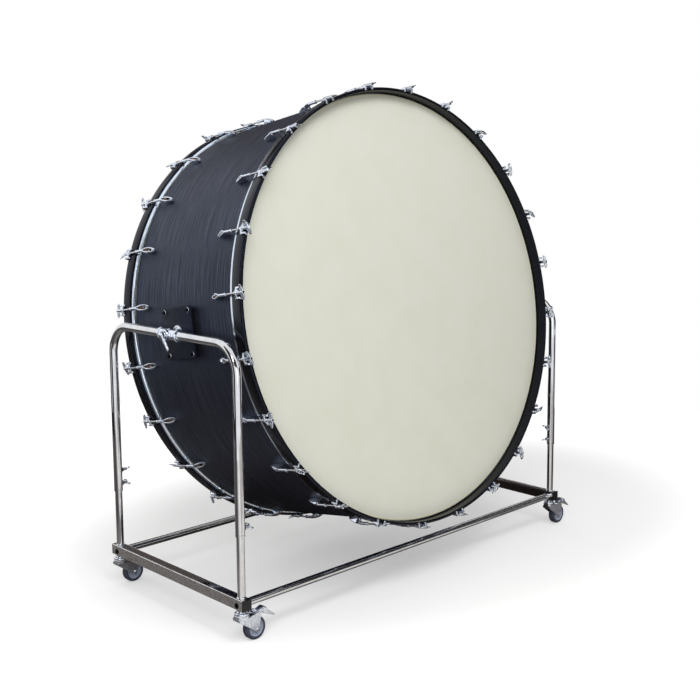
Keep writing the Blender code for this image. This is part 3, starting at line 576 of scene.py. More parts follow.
def rod(radius: float, start: float, end: float, axis: Axis = Axis.Z, segments: int = SMALL_SEGMENTS,
        chamfer: float = 0.0004) -> Mesh:
    """Make a round bar with its end edges eased.

    Args:
        radius: its radius.
        start: where it begins along the axis.
        end: where it ends.
        axis: the axis.
        segments: how many flats go round.
        chamfer: how much of each end edge is taken off.

    Returns:
        The mesh.
    """
    side = [(0.0, end), (radius - chamfer, end), (radius, end - chamfer)]
    other = [(radius, start + chamfer), (radius - chamfer, start), (0.0, start)]
    return turned(side + other, segments, axis)


def swept(path: list[Vector], radius: float, segments: int = SMALL_SEGMENTS, ring: bool = False) -> Mesh:
    """Carry a circle along a path.

    The UV map "metres" runs along the path and round it.

    Args:
        path: the points to follow.
        radius: the tube's radius.
        segments: how many flats go round it.
        ring: whether the path closes on itself.

    Returns:
        The mesh.
    """
    form = bmesh.new()
    layer = form.loops.layers.uv.new("metres")
    count = len(path)
    tangents = []
    for i in range(count):
        before = path[i - 1] if ring or i else path[0]
        after = path[(i + 1) % count] if ring or i < count - 1 else path[-1]
        tangents.append((after - before).normalized())
    side = tangents[0].orthogonal().normalized()
    if ring:
        side = (path[0] - sum(path, Vector()) / count).normalized()
    rings = []
    for i, (point, tangent) in enumerate(zip(path, tangents)):
        if i:
            side = tangents[i - 1].rotation_difference(tangent) @ side
        other = tangent.cross(side)
        turns = [math.tau * k / segments for k in range(segments)]
        rings.append([form.verts.new(point + radius * (math.cos(t) * side + math.sin(t) * other)) for t in turns])
    run = 0.0
    for i in range(count if ring else count - 1):
        after = (i + 1) % count
        length = (path[after] - path[i]).length
        for k in range(segments):
            m = (k + 1) % segments
            face = form.faces.new([rings[i][k], rings[i][m], rings[after][m], rings[after][k]])
            spots = [(run, k), (run, k + 1), (run + length, k + 1), (run + length, k)]
            for corner, (along, step) in zip(face.loops, spots):
                corner[layer].uv = (along, math.tau * radius * step / segments)
        run += length
    if not ring:
        form.faces.new(rings[0])
        form.faces.new(rings[-1])
    return finished_form(form, Matrix.Identity(4))


def lofted(sections: list[list[Vector]]) -> Mesh:
    """Draw a skin over a row of closed sections, and close both ends.

    Args:
        sections: the sections, each with as many points as the next.

    Returns:
        The mesh.
    """
    form = bmesh.new()
    rings = [[form.verts.new(point) for point in section] for section in sections]
    count = len(sections[0])
    for here, there in zip(rings, rings[1:]):
        for i in range(count):
            j = (i + 1) % count
            form.faces.new([here[i], here[j], there[j], there[i]])
    form.faces.new(rings[0])
    form.faces.new(rings[-1])
    return finished_form(form, Matrix.Identity(4))


def flat(outlines: list[Outline], thickness: float, edge: float, plane: Plane = Plane.XY, rounds: int = 2) -> Mesh:
    """Cut a plate from an outline and its holes, and round its edges.

    Args:
        outlines: the outline, and any holes after it.
        thickness: the plate's thickness.
        edge: the radius of its edges.
        plane: the plane that it lies in.
        rounds: how many steps each edge's rounding has.

    Returns:
        The mesh, with its middle in the plane.
    """
    curve = bpy.data.curves.new("outline", "CURVE")
    curve.dimensions = "2D"
    curve.fill_mode = "BOTH"
    curve.extrude = thickness / 2 - edge
    curve.bevel_depth = edge
    curve.bevel_resolution = rounds
    curve.offset = -edge
    for outline in outlines:
        spline = curve.splines.new("POLY")
        spline.points.add(len(outline) - 1)
        for point, (across, up) in zip(spline.points, outline):
            point.co = (across, up, 0.0, 1.0)
        spline.use_cyclic_u = True
    holder = bpy.data.objects.new("outline", curve)
    bpy.context.scene.collection.objects.link(holder)
    bpy.context.view_layer.update()
    mesh = bpy.data.meshes.new_from_object(holder.evaluated_get(bpy.context.evaluated_depsgraph_get()))
    bpy.data.objects.remove(holder)
    bpy.data.curves.remove(curve)
    form = bmesh.new()
    form.from_mesh(mesh)
    bmesh.ops.remove_doubles(form, verts=form.verts, dist=1e-6)
    return finished_form(form, plane.value)


def block(low: tuple[float, float, float], high: tuple[float, float, float], edge: float, rounds: int = 3) -> Mesh:
    """Make a block between two corners with its edges rounded.

    Args:
        low: the lowest corner.
        high: the highest corner.
        edge: the radius of its edges.
        rounds: how many steps each rounding has.

    Returns:
        The mesh.
    """
    form = bmesh.new()
    bmesh.ops.create_cube(form, size=1.0)
    bmesh.ops.scale(form, vec=Vector(high) - Vector(low), verts=form.verts)
    bmesh.ops.translate(form, vec=(Vector(low) + Vector(high)) / 2, verts=form.verts)
    bmesh.ops.bevel(form, geom=form.edges, offset=edge, segments=rounds, profile=0.5, affect="EDGES")
    return finished_form(form, Matrix.Identity(4))


def moved(mesh: Mesh, offset: tuple[float, float, float] = (0, 0, 0), turn: float = 0.0, about: str = "X") -> Mesh:
    """Copy a mesh, turn the copy about an axis and shift it.

    Args:
        mesh: the mesh.
        offset: the shift.
        turn: the turn, in radians.
        about: the axis of the turn.

    Returns:
        The copy.
    """
    copy = mesh.copy()
    copy.transform(Matrix.Translation(offset) @ Matrix.Rotation(turn, 4, about))
    return copy


def gathered(meshes: list[Mesh]) -> Mesh:
    """Gather meshes in one.

    Args:
        meshes: the meshes.

    Returns:
        One mesh that holds them all.
    """
    form = bmesh.new()
    for mesh in meshes:
        form.from_mesh(mesh)
    result = bpy.data.meshes.new("group")
    form.to_mesh(result)
    form.free()
    return result


def show(name: str, mesh: Mesh, finish: Finish, body: str, *stands_for: str) -> bpy.types.Object:
    """Put a finished piece in the scene, on the body that carries it.

    Args:
        name: the piece's name.
        mesh: its mesh, in its place at rest.
        finish: its finish.
        body: the CAD body that it rides on.
        stands_for: the CAD nodes that it replaces.

    Returns:
        The piece.
    """
    thing = bpy.data.objects.new(name, mesh)
    bpy.context.scene.collection.objects.link(thing)
    mesh.materials.clear()
    mesh.materials.append(finish.material())
    mesh.shade_smooth()
    mesh.set_sharp_from_angle(angle=SMOOTH_BELOW)
    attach(thing, body)
    if stands_for:
        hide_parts(*stands_for)
    log.info("%s: %d faces, on %s", name, len(mesh.polygons), body)
    return thing


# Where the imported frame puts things

@dataclass(frozen=True)
class Stance:
    """The places that the drum, the stand and the camera share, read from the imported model."""

    centre_x: float
    pivot_z: float
    bail_x: float
    leg_y: float
    leg_top: float
    leg_r: float
    tube_r: float
    bail_foot: float
    bar_top: float
    bar_bottom: float
    rail_y: float
    rail_z: float
    rail_r: float

    @classmethod
    def read(cls) -> Stance:
        """Read the places from the boxes of the CAD nodes."""
        left_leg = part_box("left_front_lower_leg")
        right_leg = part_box("right_rear_lower_leg")
        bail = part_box("left_bail")
        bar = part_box("left_side_bar")
        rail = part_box("rear_cross_rail")
        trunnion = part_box("left_trunnion")
        left_x = (left_leg[0].x + left_leg[1].x) / 2
        right_x = (right_leg[0].x + right_leg[1].x) / 2
        pivot_z = (trunnion[0].z + trunnion[1].z) / 2
        return cls(centre_x=(left_x + right_x) / 2, pivot_z=pivot_z, bail_x=(right_x - left_x) / 2,
                   leg_y=(right_leg[0].y + right_leg[1].y) / 2, leg_top=left_leg[1].z,
                   leg_r=(left_leg[1].x - left_leg[0].x) / 2, tube_r=bail[1].z - pivot_z,
                   bail_foot=bail[0].z, bar_top=bar[1].z, bar_bottom=bar[0].z,
                   rail_y=(rail[0].y + rail[1].y) / 2, rail_z=(rail[0].z + rail[1].z) / 2,
                   rail_r=(rail[1].y - rail[0].y) / 2)

    def from_centre(self, mesh: Mesh, turn: float = 0.0) -> Mesh:
        """Turn a mesh about the upright line through the stand's middle and put it in the row frame.

        Args:
            mesh: a mesh made about x = 0.
            turn: the turn about Z, in radians.

        Returns:
            The mesh in its place.
        """
        return moved(mesh, (self.centre_x, 0, 0), turn, "Z")


@dataclass
class Drum:
    """The shell with its heads, hoops and tension gear, made with its axis along Y."""

    stance: Stance
    lean: float = math.radians(9.47)
    depth: float = 0.669
    shell_r: float = 0.750
    shell_wall: float = 0.010
    bearing_edge: float = 0.0025
    head_recess: float = 0.0393
    film: float = 0.0012
    collar_bend: float = 0.0055
    hoop_r: float = 0.765
    hoop_thickness: float = 0.0116
    hoop_width: float = 0.0436
    hoop_rounding: float = 0.006
    flesh_r: float = 0.7605
    flesh_width: float = 0.0165
    rod_count: int = 24
    first_rod: float = 7.5
    rod_r: float = 0.0032
    rod_lift: float = 0.0075
    claw_width: float = 0.039
    claw_prong: float = 0.0068
    claw_back: float = 0.0186
    claw_face: float = 0.008
    claw_drop: float = 0.008
    claw_top: float = 0.014
    handle_length: float = 0.0165
    handle_span: float = 0.050
    handle_tip: float = 0.0052
    handle_thickness: float = 0.0062
    lug_tip: float = 0.180
    lug_near: float = 0.240
    lug_sleeve: float = 0.274
    lug_width: float = 0.0215
    lug_rim: float = 0.0060
    handle_turns: tuple[int, ...] = (0, 30, -35, 20, 49, 25, 8, -8, -26, -33, 51, 20,
                                     18, -25, 30, 26, 24, -2, -20, 10, 50, -32, 20, -12)
    half: float = field(init=False)
    hoop_back: float = field(init=False)
    head_face: float = field(init=False)
    rod_axis: float = field(init=False)

    def __post_init__(self) -> None:
        """Work out the levels that several pieces share."""
        self.half = self.depth / 2
        self.hoop_back = self.half - self.hoop_width
        self.head_face = self.half - self.head_recess
        self.rod_axis = self.hoop_r + self.rod_lift

    def placed(self, mesh: Mesh, end: End = End.FRONT) -> Mesh:
        """Lean a mesh with the drum and put it in the row frame.

        Args:
            mesh: a mesh made for the front.
            end: the end that it is for.

        Returns:
            The mesh in its place.
        """
        half_turn = 0.0 if end is End.FRONT else math.pi
        copy = mesh.copy()
        copy.transform(Matrix.Translation((self.stance.centre_x, 0, self.stance.pivot_z))
                       @ Matrix.Rotation(-self.lean, 4, "X") @ Matrix.Rotation(half_turn, 4, "Z"))
        return copy

    def around_rim(self, mesh: Mesh, turns: tuple[int, ...] | None = None) -> Mesh:
        """Set copies of a mesh at the tension rods' places.

        Args:
            mesh: the mesh at the top of the rim.
            turns: how far each copy is turned about its rod, in degrees.

        Returns:
            One mesh of all the copies.
        """
        out = Matrix.Translation((0, 0, self.rod_axis))
        copies = []
        for index in range(self.rod_count):
            copy = mesh.copy()
            if turns:
                copy.transform(out @ Matrix.Rotation(math.radians(-turns[index]), 4, "Y") @ out.inverted())
            angle = self.first_rod + index * 360 / self.rod_count
            copy.transform(Matrix.Rotation(math.radians(90 - angle), 4, "Y"))
            copies.append(copy)
        return gathered(copies)

    def shell(self) -> Mesh:
        """Make the wooden cylinder with its bearing edges."""
        top = self.head_face - self.film
        edge = self.bearing_edge
        side = [(self.shell_r, top - edge), (self.shell_r - edge, top),
                (self.shell_r - self.shell_wall, top - edge)]
        return turned(side + [(r, -h) for r, h in reversed(side)], RIM_SEGMENTS, Axis.Y, closed=True)

    def head(self) -> Mesh:
        """Make the film: flat, bent over the bearing edge, and drawn down to its hoop."""
        outer = self.shell_r + self.film + 0.0003
        bend = self.collar_bend
        rings = [(radius, self.head_face) for radius in (0.0, 0.25, 0.50, 0.70)]
        over = arc((outer - bend, self.head_face - bend), bend, 90, 0, 6)
        low = self.hoop_back - self.flesh_width + 0.001
        inner = outer - self.film
        under = self.head_face - self.film
        profile = rings + over + [(outer, low), (inner, low), (inner, under - bend), (inner - bend, under), (0.0, under)]
        mesh = turned(profile, RIM_SEGMENTS, Axis.Y)
        layer = mesh.uv_layers[0]
        layer.name = "flat"
        for corner in mesh.loops:
            place = mesh.vertices[corner.vertex_index].co
            layer.data[corner.index].uv = (place.x, place.z)
        return mesh

    def flesh_hoop(self) -> Mesh:
        """Make the aluminium ring that the film is crimped in, half round towards the shell."""
        inner = self.shell_r + self.film + 0.0006
        front = self.hoop_back - 0.0003
        back = front - self.flesh_width
        thick = self.flesh_r - inner
        outer = arc((self.flesh_r - 0.002, front - 0.002), 0.002, 90, 0, 3)
        outer += oval((inner, back + 0.0045), (thick, 0.0045), 8, 0, -90)
        return turned(outer + [(inner, front)], RIM_SEGMENTS, Axis.Y, closed=True)

    def counterhoop(self) -> Mesh:
        """Make the wooden rim, rounded on its outer edge and eased on its inner one."""
        inner = self.hoop_r - self.hoop_thickness
        big = self.hoop_rounding
        small = 0.0022
        profile = arc((inner + small, self.half - small), small, 180, 90, 4)
        profile += arc((self.hoop_r - big, self.half - big), big, 90, 0, 7)
        profile += arc((self.hoop_r - 0.001, self.hoop_back + 0.001), 0.001, 0, -90, 2)
        profile += arc((inner + 0.001, self.hoop_back + 0.001), 0.001, -90, -180, 2)
        return turned(profile, RIM_SEGMENTS, Axis.Y, closed=True)

    def claw(self) -> Mesh:
        """Make a claw: two prongs that end in domes on the hoop's face, and a saddle for the rod."""
        seat = self.hoop_r + 0.0003
        face = self.half + 0.0003
        back = self.half - self.claw_back
        nose = self.half + self.claw_face
        tip = self.hoop_r - self.claw_drop
        top = self.hoop_r + self.claw_top
        hook = 0.0024
        side = [(-back, seat), (-face, seat), (-face, tip + hook)]
        side += [(-along, up) for along, up in arc((face + hook, tip + hook), hook, 180, 360, 6)]
        side += [(-along, up) for along, up in arc((nose - 0.005, seat + 0.004), 0.005, 0, 90, 5)]
        side += [(-along, up) for along, up in arc((back + 0.003, seat + 0.004), 0.003, 90, 180, 4)]
        prong = flat([side], self.claw_prong, 0.0018, Plane.YZ)
        dome = turned(arc((0, 0), 1.0, 90, 0, 6), SMALL_SEGMENTS, Axis.Y)
        reach = self.claw_prong / 2
        dome.transform(Matrix.Diagonal((reach + 0.0006, 0.0052, reach + 0.0006, 1.0)))
        offset = self.claw_width / 2 - reach
        parts = []
        for way in (-1, 1):
            parts.append(moved(prong, (way * offset, 0, 0)))
            parts.append(moved(dome, (way * offset, -face, tip + reach)))
        half = self.claw_width / 2
        arch = [(-half, seat), (half, seat)] + arc((half - 0.006, seat + 0.003), 0.006, 0, 60, 4)
        arch += arc((0, self.rod_axis), top - self.rod_axis, 50, 130, 6)
        arch += arc((0.006 - half, seat + 0.003), 0.006, 120, 180, 4)
        saddle = moved(flat([arch], 0.0075, 0.0018, Plane.XZ), (0, -(back + 0.0075), 0))
        barrel = moved(rod(0.0056, back - 0.001, nose - 0.003, Axis.Y), (0, 0, self.rod_axis))
        return gathered(parts + [saddle, barrel])

    def tension_rod(self) -> Mesh:
        """Make a rod with the collar that bears on its claw."""
        nose = self.half + self.claw_face
        shank = rod(self.rod_r, self.lug_near - 0.006, nose + self.handle_length / 2, Axis.Y, 16)
        collar = rod(0.0052, nose - 0.003, nose + 0.003, Axis.Y)
        return moved(gathered([shank, collar]), (0, 0, self.rod_axis))

    def handle(self) -> Mesh:
        """Make a T-handle: a round hub and two slotted wings that thin out to their tips."""
        middle = self.half + self.claw_face + 0.0003 + self.handle_length / 2
        half_span = self.handle_span / 2
        steps = 9
        swell = (self.handle_length - self.handle_tip) / 2
        upper = []
        for i in range(-steps, steps + 1):
            share = i / steps
            upper.append((half_span * math.sin(share * math.pi / 2),
                          self.handle_tip / 2 + swell * math.cos(share * math.pi / 2) ** 1.3))
        outline = list(reversed(upper)) + [(across, -along) for across, along in upper]
        slots = [oval((way * half_span * 0.54, 0), (half_span * 0.25, self.handle_tip * 0.46), 14)[::-1]
                 for way in (-1, 1)]
        wings = flat([outline] + slots, self.handle_thickness, 0.0020)
        for vertex in wings.vertices:
            share = min(abs(vertex.co.x) / half_span, 1.0)
            vertex.co.z *= 1.0 - 0.45 * share
        hub = rod(0.0050, -self.handle_length / 2, self.handle_length / 2, Axis.Y, chamfer=0.0012)
        return moved(gathered([wings, hub]), (0, -middle, self.rod_axis))

    def lug(self) -> Mesh:
        """Make a lug: a hollow teardrop that rises from the shell, and the sleeve that the rod runs in."""
        foot = self.shell_r - 0.0004
        near = self.lug_near
        rim = self.lug_rim
        sections = []
        for i in range(1, 24):
            share = i / 24
            half = self.lug_width / 2 * math.sin(math.pi * min(share ** 0.85, 0.985)) ** 0.62
            crest = foot + 0.0105 + (self.rod_axis + 0.0046 - foot - 0.0105) * math.sin(math.pi / 2 * share) ** 1.15
            across = max(half - rim, 0.0002)
            opened = min(max((share - 0.20) / 0.16, 0.0), 1.0)
            depth = min(max(half - rim, 0.0) * 3.4, (crest - foot) * 0.72) * opened - rim * 0.6 * (1 - opened)
            left = arc((rim / 2 - half, crest - rim / 2), rim / 2, 180, 10, 6) + [(-across, crest - rim * 0.6 - depth)]
            upper = left + [(-x, up) for x, up in reversed(left)]
            outline = [(-half * 0.62, foot)] + upper + [(half * 0.62, foot)]
            sections.append([Vector((x, -(self.lug_tip + (near - self.lug_tip) * share), up)) for x, up in outline])
        sleeve = moved(rod(0.0052, near - 0.004, self.lug_sleeve, Axis.Y, chamfer=0.001), (0, 0, self.rod_axis))
        lip = moved(rod(0.0062, self.lug_sleeve - 0.005, self.lug_sleeve + 0.0004, Axis.Y), (0, 0, self.rod_axis))
        return gathered([lofted(sections), sleeve, lip])

    def lug_insert(self) -> Mesh:
        """Make the threaded insert that shows in a lug's opening, brown as a painted reflection of the warm floor."""
        start = self.lug_tip + 0.50 * (self.lug_near - self.lug_tip)
        return moved(rod(0.0032, start, self.lug_near, Axis.Y, 16), (0, 0, self.rod_axis - 0.0048))

    def build(self) -> None:
        """Make every piece of the drum and show it."""
        show("drum_shell", self.placed(self.shell()), SHELL_WOOD, "drum", "shell")
        claws = self.around_rim(self.claw())
        rods = self.around_rim(self.tension_rod())
        handles = self.around_rim(self.handle(), self.handle_turns)
        lugs = self.around_rim(self.lug())
        inserts = self.around_rim(self.lug_insert())
        sets = (("head_film", self.head(), DRUM_FILM, "head"),
                ("flesh_ring", self.flesh_hoop(), ALUMINIUM, "flesh_hoop"),
                ("wooden_hoop", self.counterhoop(), HOOP_LACQUER, "counterhoop"),
                ("claws", claws, CAST_CHROME, None), ("tension_rods", rods, CHROME, None),
                ("rod_handles", handles, CAST_CHROME, None), ("lugs", lugs, CAST_CHROME, None),
                ("lug_inserts", inserts, BRASS_PAINTED_REFLECTION, None))
        for end in End:
            for name, mesh, finish, node in sets:
                nodes = (f"{end.label}_{node}",) if node else ()
                show(f"{end.label}_{name}", self.placed(mesh, end), finish, "drum", *nodes)


@dataclass
class SideMount:
    """The plate on the drum's flank with its spacers, bolts and trunnion, made on the +X side."""

    drum: Drum
    length: float = 0.160
    height: float = 0.173
    thickness: float = 0.006
    face_x: float = 0.769
    corner: float = 0.007
    bolt_inset: float = 0.015
    spacer_r: float = 0.008
    bolt_r: float = 0.0068
    bolt_height: float = 0.0048
    washer_r: float = 0.0082
    washer: float = 0.0016
    trunnion_r: float = 0.008
    flange_r: float = 0.026
    flange: float = 0.0045

    def bolt_places(self) -> Outline:
        """Return where the four bolts stand, as (y, z)."""
        along = self.length / 2 - self.bolt_inset
        up = self.height / 2 - self.bolt_inset
        return [(a, b) for a in (-along, along) for b in (-up, up)]

    def plate(self) -> Mesh:
        """Make the plate with rounded corners."""
        across = self.length / 2 - self.corner
        up = self.height / 2 - self.corner
        outline = []
        for (a, b), start in (((across, -up), -90), ((across, up), 0), ((-across, up), 90), ((-across, -up), 180)):
            outline += arc((a, b), self.corner, start, start + 90, 5)
        return moved(flat([outline], self.thickness, 0.0008, Plane.YZ), (self.face_x - self.thickness / 2, 0, 0))

    def spacers(self) -> Mesh:
        """Make the round spacers that hold the plate off the shell."""
        parts = []
        for along, up in self.bolt_places():
            foot = math.sqrt(self.drum.shell_r ** 2 - (abs(up) + self.spacer_r) ** 2)
            spacer = rod(self.spacer_r, foot, self.face_x - self.thickness / 2, Axis.X)
            parts.append(moved(spacer, (0, along, up)))
        return gathered(parts)

    def bolts(self) -> Mesh:
        """Make the bolts: a low head and the socket in it."""
        top = self.washer + self.bolt_height
        profile = [(0, top - 0.0028), (0.0030, top - 0.0028), (0.0032, top)]
        profile += arc((self.bolt_r - 0.0018, top - 0.0018), 0.0018, 90, 0, 4)
        profile += [(self.bolt_r, self.washer - 0.0004), (0, self.washer - 0.0004)]
        bolt = turned(profile, SMALL_SEGMENTS, Axis.X)
        return gathered([moved(bolt, (self.face_x, along, up)) for along, up in self.bolt_places()])

    def washers(self) -> Mesh:
        """Make the bright washers under the bolts' heads."""
        profile = [(0, self.washer), (self.washer_r - 0.0005, self.washer), (self.washer_r, self.washer - 0.0005),
                   (self.washer_r, 0), (0, 0)]
        washer = turned(profile, SMALL_SEGMENTS, Axis.X)
        return gathered([moved(washer, (self.face_x, along, up)) for along, up in self.bolt_places()])

    def trunnion(self) -> Mesh:
        """Make the pivot: a stepped flange and the pin that turns in the clamp."""
        base = self.face_x + 0.0003
        shoulder = base + self.flange
        end = self.drum.stance.bail_x - self.drum.stance.tube_r - 0.0004
        profile = [(0, end), (self.trunnion_r - 0.001, end), (self.trunnion_r, end - 0.001),
                   (self.trunnion_r, shoulder + 0.003)]
        profile += arc((self.trunnion_r + 0.003, shoulder + 0.003), 0.003, 180, 270, 4)
        profile += arc((self.flange_r - 0.0015, shoulder - 0.0015), 0.0015, 90, 0, 3)
        return turned(profile + [(self.flange_r, base), (0, base)], ROUND_SEGMENTS, Axis.X)

    def build(self) -> None:
        """Make both sides' pieces and show them."""
        pieces = (("flank_plate", gathered([self.plate(), self.spacers()]), POWDER_COAT, "mount_plate"),
                  ("plate_bolts", self.bolts(), BLACK_OXIDE, None), ("plate_washers", self.washers(), ZINC, None),
                  ("pivot", self.trunnion(), CHROME, "trunnion"))
        for side in Side:
            end = End.FRONT if side is Side.RIGHT else End.REAR
            for name, mesh, finish, node in pieces:
                nodes = (f"{side.label}_{node}",) if node else ()
                show(f"{side.label}_{name}", self.drum.placed(mesh, end), finish, "drum", *nodes)


@dataclass
class Bail:
    """An upside-down U of bent tube with its clamp, lever and wing screws, made on the +X side."""

    stance: Stance
    bend: float = 0.095
    upper_rise: float = 0.074
    lower_rise: float = 0.026
    boss_r: float = 0.0085
    boss_reach: float = 0.0195
    screw_r: float = 0.0031
    screw_neck: float = 0.003
    wing_length: float = 0.018
    wing_span: float = 0.034
    wing_wire: float = 0.0020
    upper_turn: float = math.radians(30.0)
    lower_turn: float = math.radians(-20.0)
    sleeve_r: float = 0.0188
    sleeve_length: float = 0.100
    ring_r: float = 0.0212
    ring_width: float = 0.009
    socket_r: float = 0.015
    socket_reach: float = 0.026
    lock_reach: float = 0.030
    lever_hub_r: float = 0.0105
    lever_tip_r: float = 0.0055
    lever_length: float = 0.055
    lever_thickness: float = 0.0095
    lever_angle: float = math.radians(40.0)

    def placed(self, mesh: Mesh, side: Side) -> Mesh:
        """Put a mesh made about the pivot's middle on its side of the stand."""
        return self.stance.from_centre(moved(mesh, (self.stance.bail_x, 0, self.stance.pivot_z)), side.turn)

    def tube(self) -> Mesh:
        """Make the bent tube, with the rim of its open feet and the bosses for the screws."""
        drop = self.stance.pivot_z - self.stance.bail_foot
        leg = self.stance.leg_y
        corner = arc((leg - self.bend, -self.bend), self.bend, 90, 0, 20)
        half = [(0.0, 0.0), (0.12, 0.0)] + corner + [(leg, -0.30), (leg, -0.006 - drop + 0.012)]
        path = [Vector((0, -y, z)) for y, z in reversed(half[1:])] + [Vector((0, y, z)) for y, z in half]
        parts = [swept(path, self.stance.tube_r, ROUND_SEGMENTS)]
        r = self.stance.tube_r
        bore = self.stance.leg_r + 0.0004
        rim = [(r, 0.008), (r, 0.0006), (r - 0.0006, 0.0), (bore, 0.0), (bore, 0.008)]
        boss = [(self.boss_r + 0.0016, 0.0145), (self.boss_r, 0.0162), (self.boss_r, self.boss_reach - 0.0008),
                (self.boss_r - 0.0008, self.boss_reach), (0, self.boss_reach)]
        for way in (-1, 1):
            parts.append(moved(turned(rim, ROUND_SEGMENTS, closed=True), (0, way * leg, -drop)))
            for rise in (self.upper_rise, self.lower_rise):
                parts.append(moved(turned(boss, SMALL_SEGMENTS, Axis.X), (0, way * leg, rise - drop), math.pi, "Z"))
        return gathered(parts)

    def clamp(self) -> Mesh:
        """Make the clamp: a split sleeve between two rings, the pivot's socket and the lock's boss."""
        end = self.sleeve_length / 2
        ring = self.ring_width
        big, small = self.ring_r, self.sleeve_r
        bore = self.stance.tube_r + 0.0003
        half = [(small, 0.020), (small, end - ring - 0.001)] + arc((big - 0.0025, end - ring + 0.0025), 0.0025, -90, 0, 4)
        half += arc((big - 0.0025, end - 0.0025), 0.0025, 0, 90, 4) + [(bore, end)]
        sleeve = turned([(r, -h) for r, h in reversed(half)] + half, ROUND_SEGMENTS, Axis.Y, closed=True)
        socket = [(0.0084, -self.socket_reach), (self.socket_r - 0.001, -self.socket_reach),
                  (self.socket_r, 0.001 - self.socket_reach), (self.socket_r, 0), (0.0084, 0)]
        lock = [(0, 0), (self.socket_r + 0.002, 0), (self.socket_r + 0.002, self.lock_reach - 0.009),
                (self.socket_r - 0.001, self.lock_reach - 0.006), (self.socket_r - 0.001, self.lock_reach - 0.0012),
                (self.socket_r - 0.0022, self.lock_reach), (0, self.lock_reach)]
        pinch = moved(rod(0.0072, -0.0295, 0.0295, Axis.Z), (0.0165, 0.0, 0.0))
        band = turned([(big - 0.001, -0.006), (big, -0.004), (big, 0.004), (big - 0.001, 0.006), (bore, 0.006),
                       (bore, -0.006)], ROUND_SEGMENTS, Axis.Y, closed=True)
        return gathered([sleeve, turned(socket, ROUND_SEGMENTS, Axis.X, closed=True),
                         turned(lock, ROUND_SEGMENTS, Axis.X), band, moved(pinch, (0, 0, 0), math.pi / 2, "X")])

    def lever(self) -> Mesh:
        """Make the locking lever: a domed hub and an arm that thins to a ball end."""
        hub = arc((0, 0), self.lever_hub_r, -12, 192, 12)
        tip = arc((0, -self.lever_length), self.lever_tip_r, 188, 352, 8)
        waist = [(-0.0052, -self.lever_length * 0.55)]
        arm = flat([hub + waist + tip + [(0.0052, -self.lever_length * 0.55)]], self.lever_thickness, 0.0032,
                   Plane.YZ, 3)
        cap = turned(arc((0, 0), 1.0, 90, 0, 6), SMALL_SEGMENTS, Axis.X)
        cap.transform(Matrix.Diagonal((0.0030, 0.0085, 0.0085, 1.0)))
        return gathered([arm, moved(cap, (self.lever_thickness / 2 - 0.0030, 0, 0))])

    def wing_screw(self) -> Mesh:
        """Make a wing screw: a threaded shank, a round hub and two looped wings."""
        low = self.boss_reach + self.screw_neck
        high = low + self.wing_length
        shank = rod(self.screw_r, self.stance.leg_r + 0.0004, low + 0.004, Axis.Y, 16)
        hub = rod(0.0056, low, high - 0.0065, Axis.Y, chamfer=0.0012)
        half = self.wing_span / 2
        wings = []
        for way in (-1, 1):
            loop = oval((way * (half - 0.0082), (low + high) / 2 + 0.002), (0.0056, 0.0078), 22, lean=-way * 32)
            path = [Vector((across, -along, 0)) for across, along in loop]
            wings.append(swept(path, self.wing_wire, 10, ring=True))
        return gathered([shank, hub] + wings)

    def build(self) -> None:
        """Make both bails' pieces and show them."""
        tube = self.tube()
        clamp = self.clamp()
        lever_x = self.lock_reach + 0.0003 + self.lever_thickness / 2
        screw = self.wing_screw()
        drop = self.stance.pivot_z - self.stance.bail_foot
        for side in Side:
            body = f"{side.label}_bail"
            show(f"{side.label}_bent_tube", self.placed(tube, side), CHROME, body, f"{side.label}_bail")
            show(f"{side.label}_sleeve_clamp", self.placed(clamp, side), CAST_CHROME, body, f"{side.label}_clamp")
            arm = moved(self.lever(), (lever_x, 0, 0), -side.value * self.lever_angle)
            show(f"{side.label}_lock_lever", self.placed(arm, side), CAST_CHROME, f"{side.label}_lever",
                 f"{side.label}_clamp_lever")
            for end in End:
                for level, rise, turn in (("upper", self.upper_rise, self.upper_turn),
                                          ("lower", self.lower_rise, self.lower_turn)):
                    node = f"{side.label}_{end.label}_{level}_wing_screw"
                    place = (0, side.value * end.value * self.stance.leg_y, rise - drop)
                    inward = moved(moved(screw, turn=turn, about="Y"), place, -math.pi / 2, "Z")
                    show(f"{side.label}_{end.label}_{level}_screw", self.placed(inward, side), CAST_CHROME, node, node)


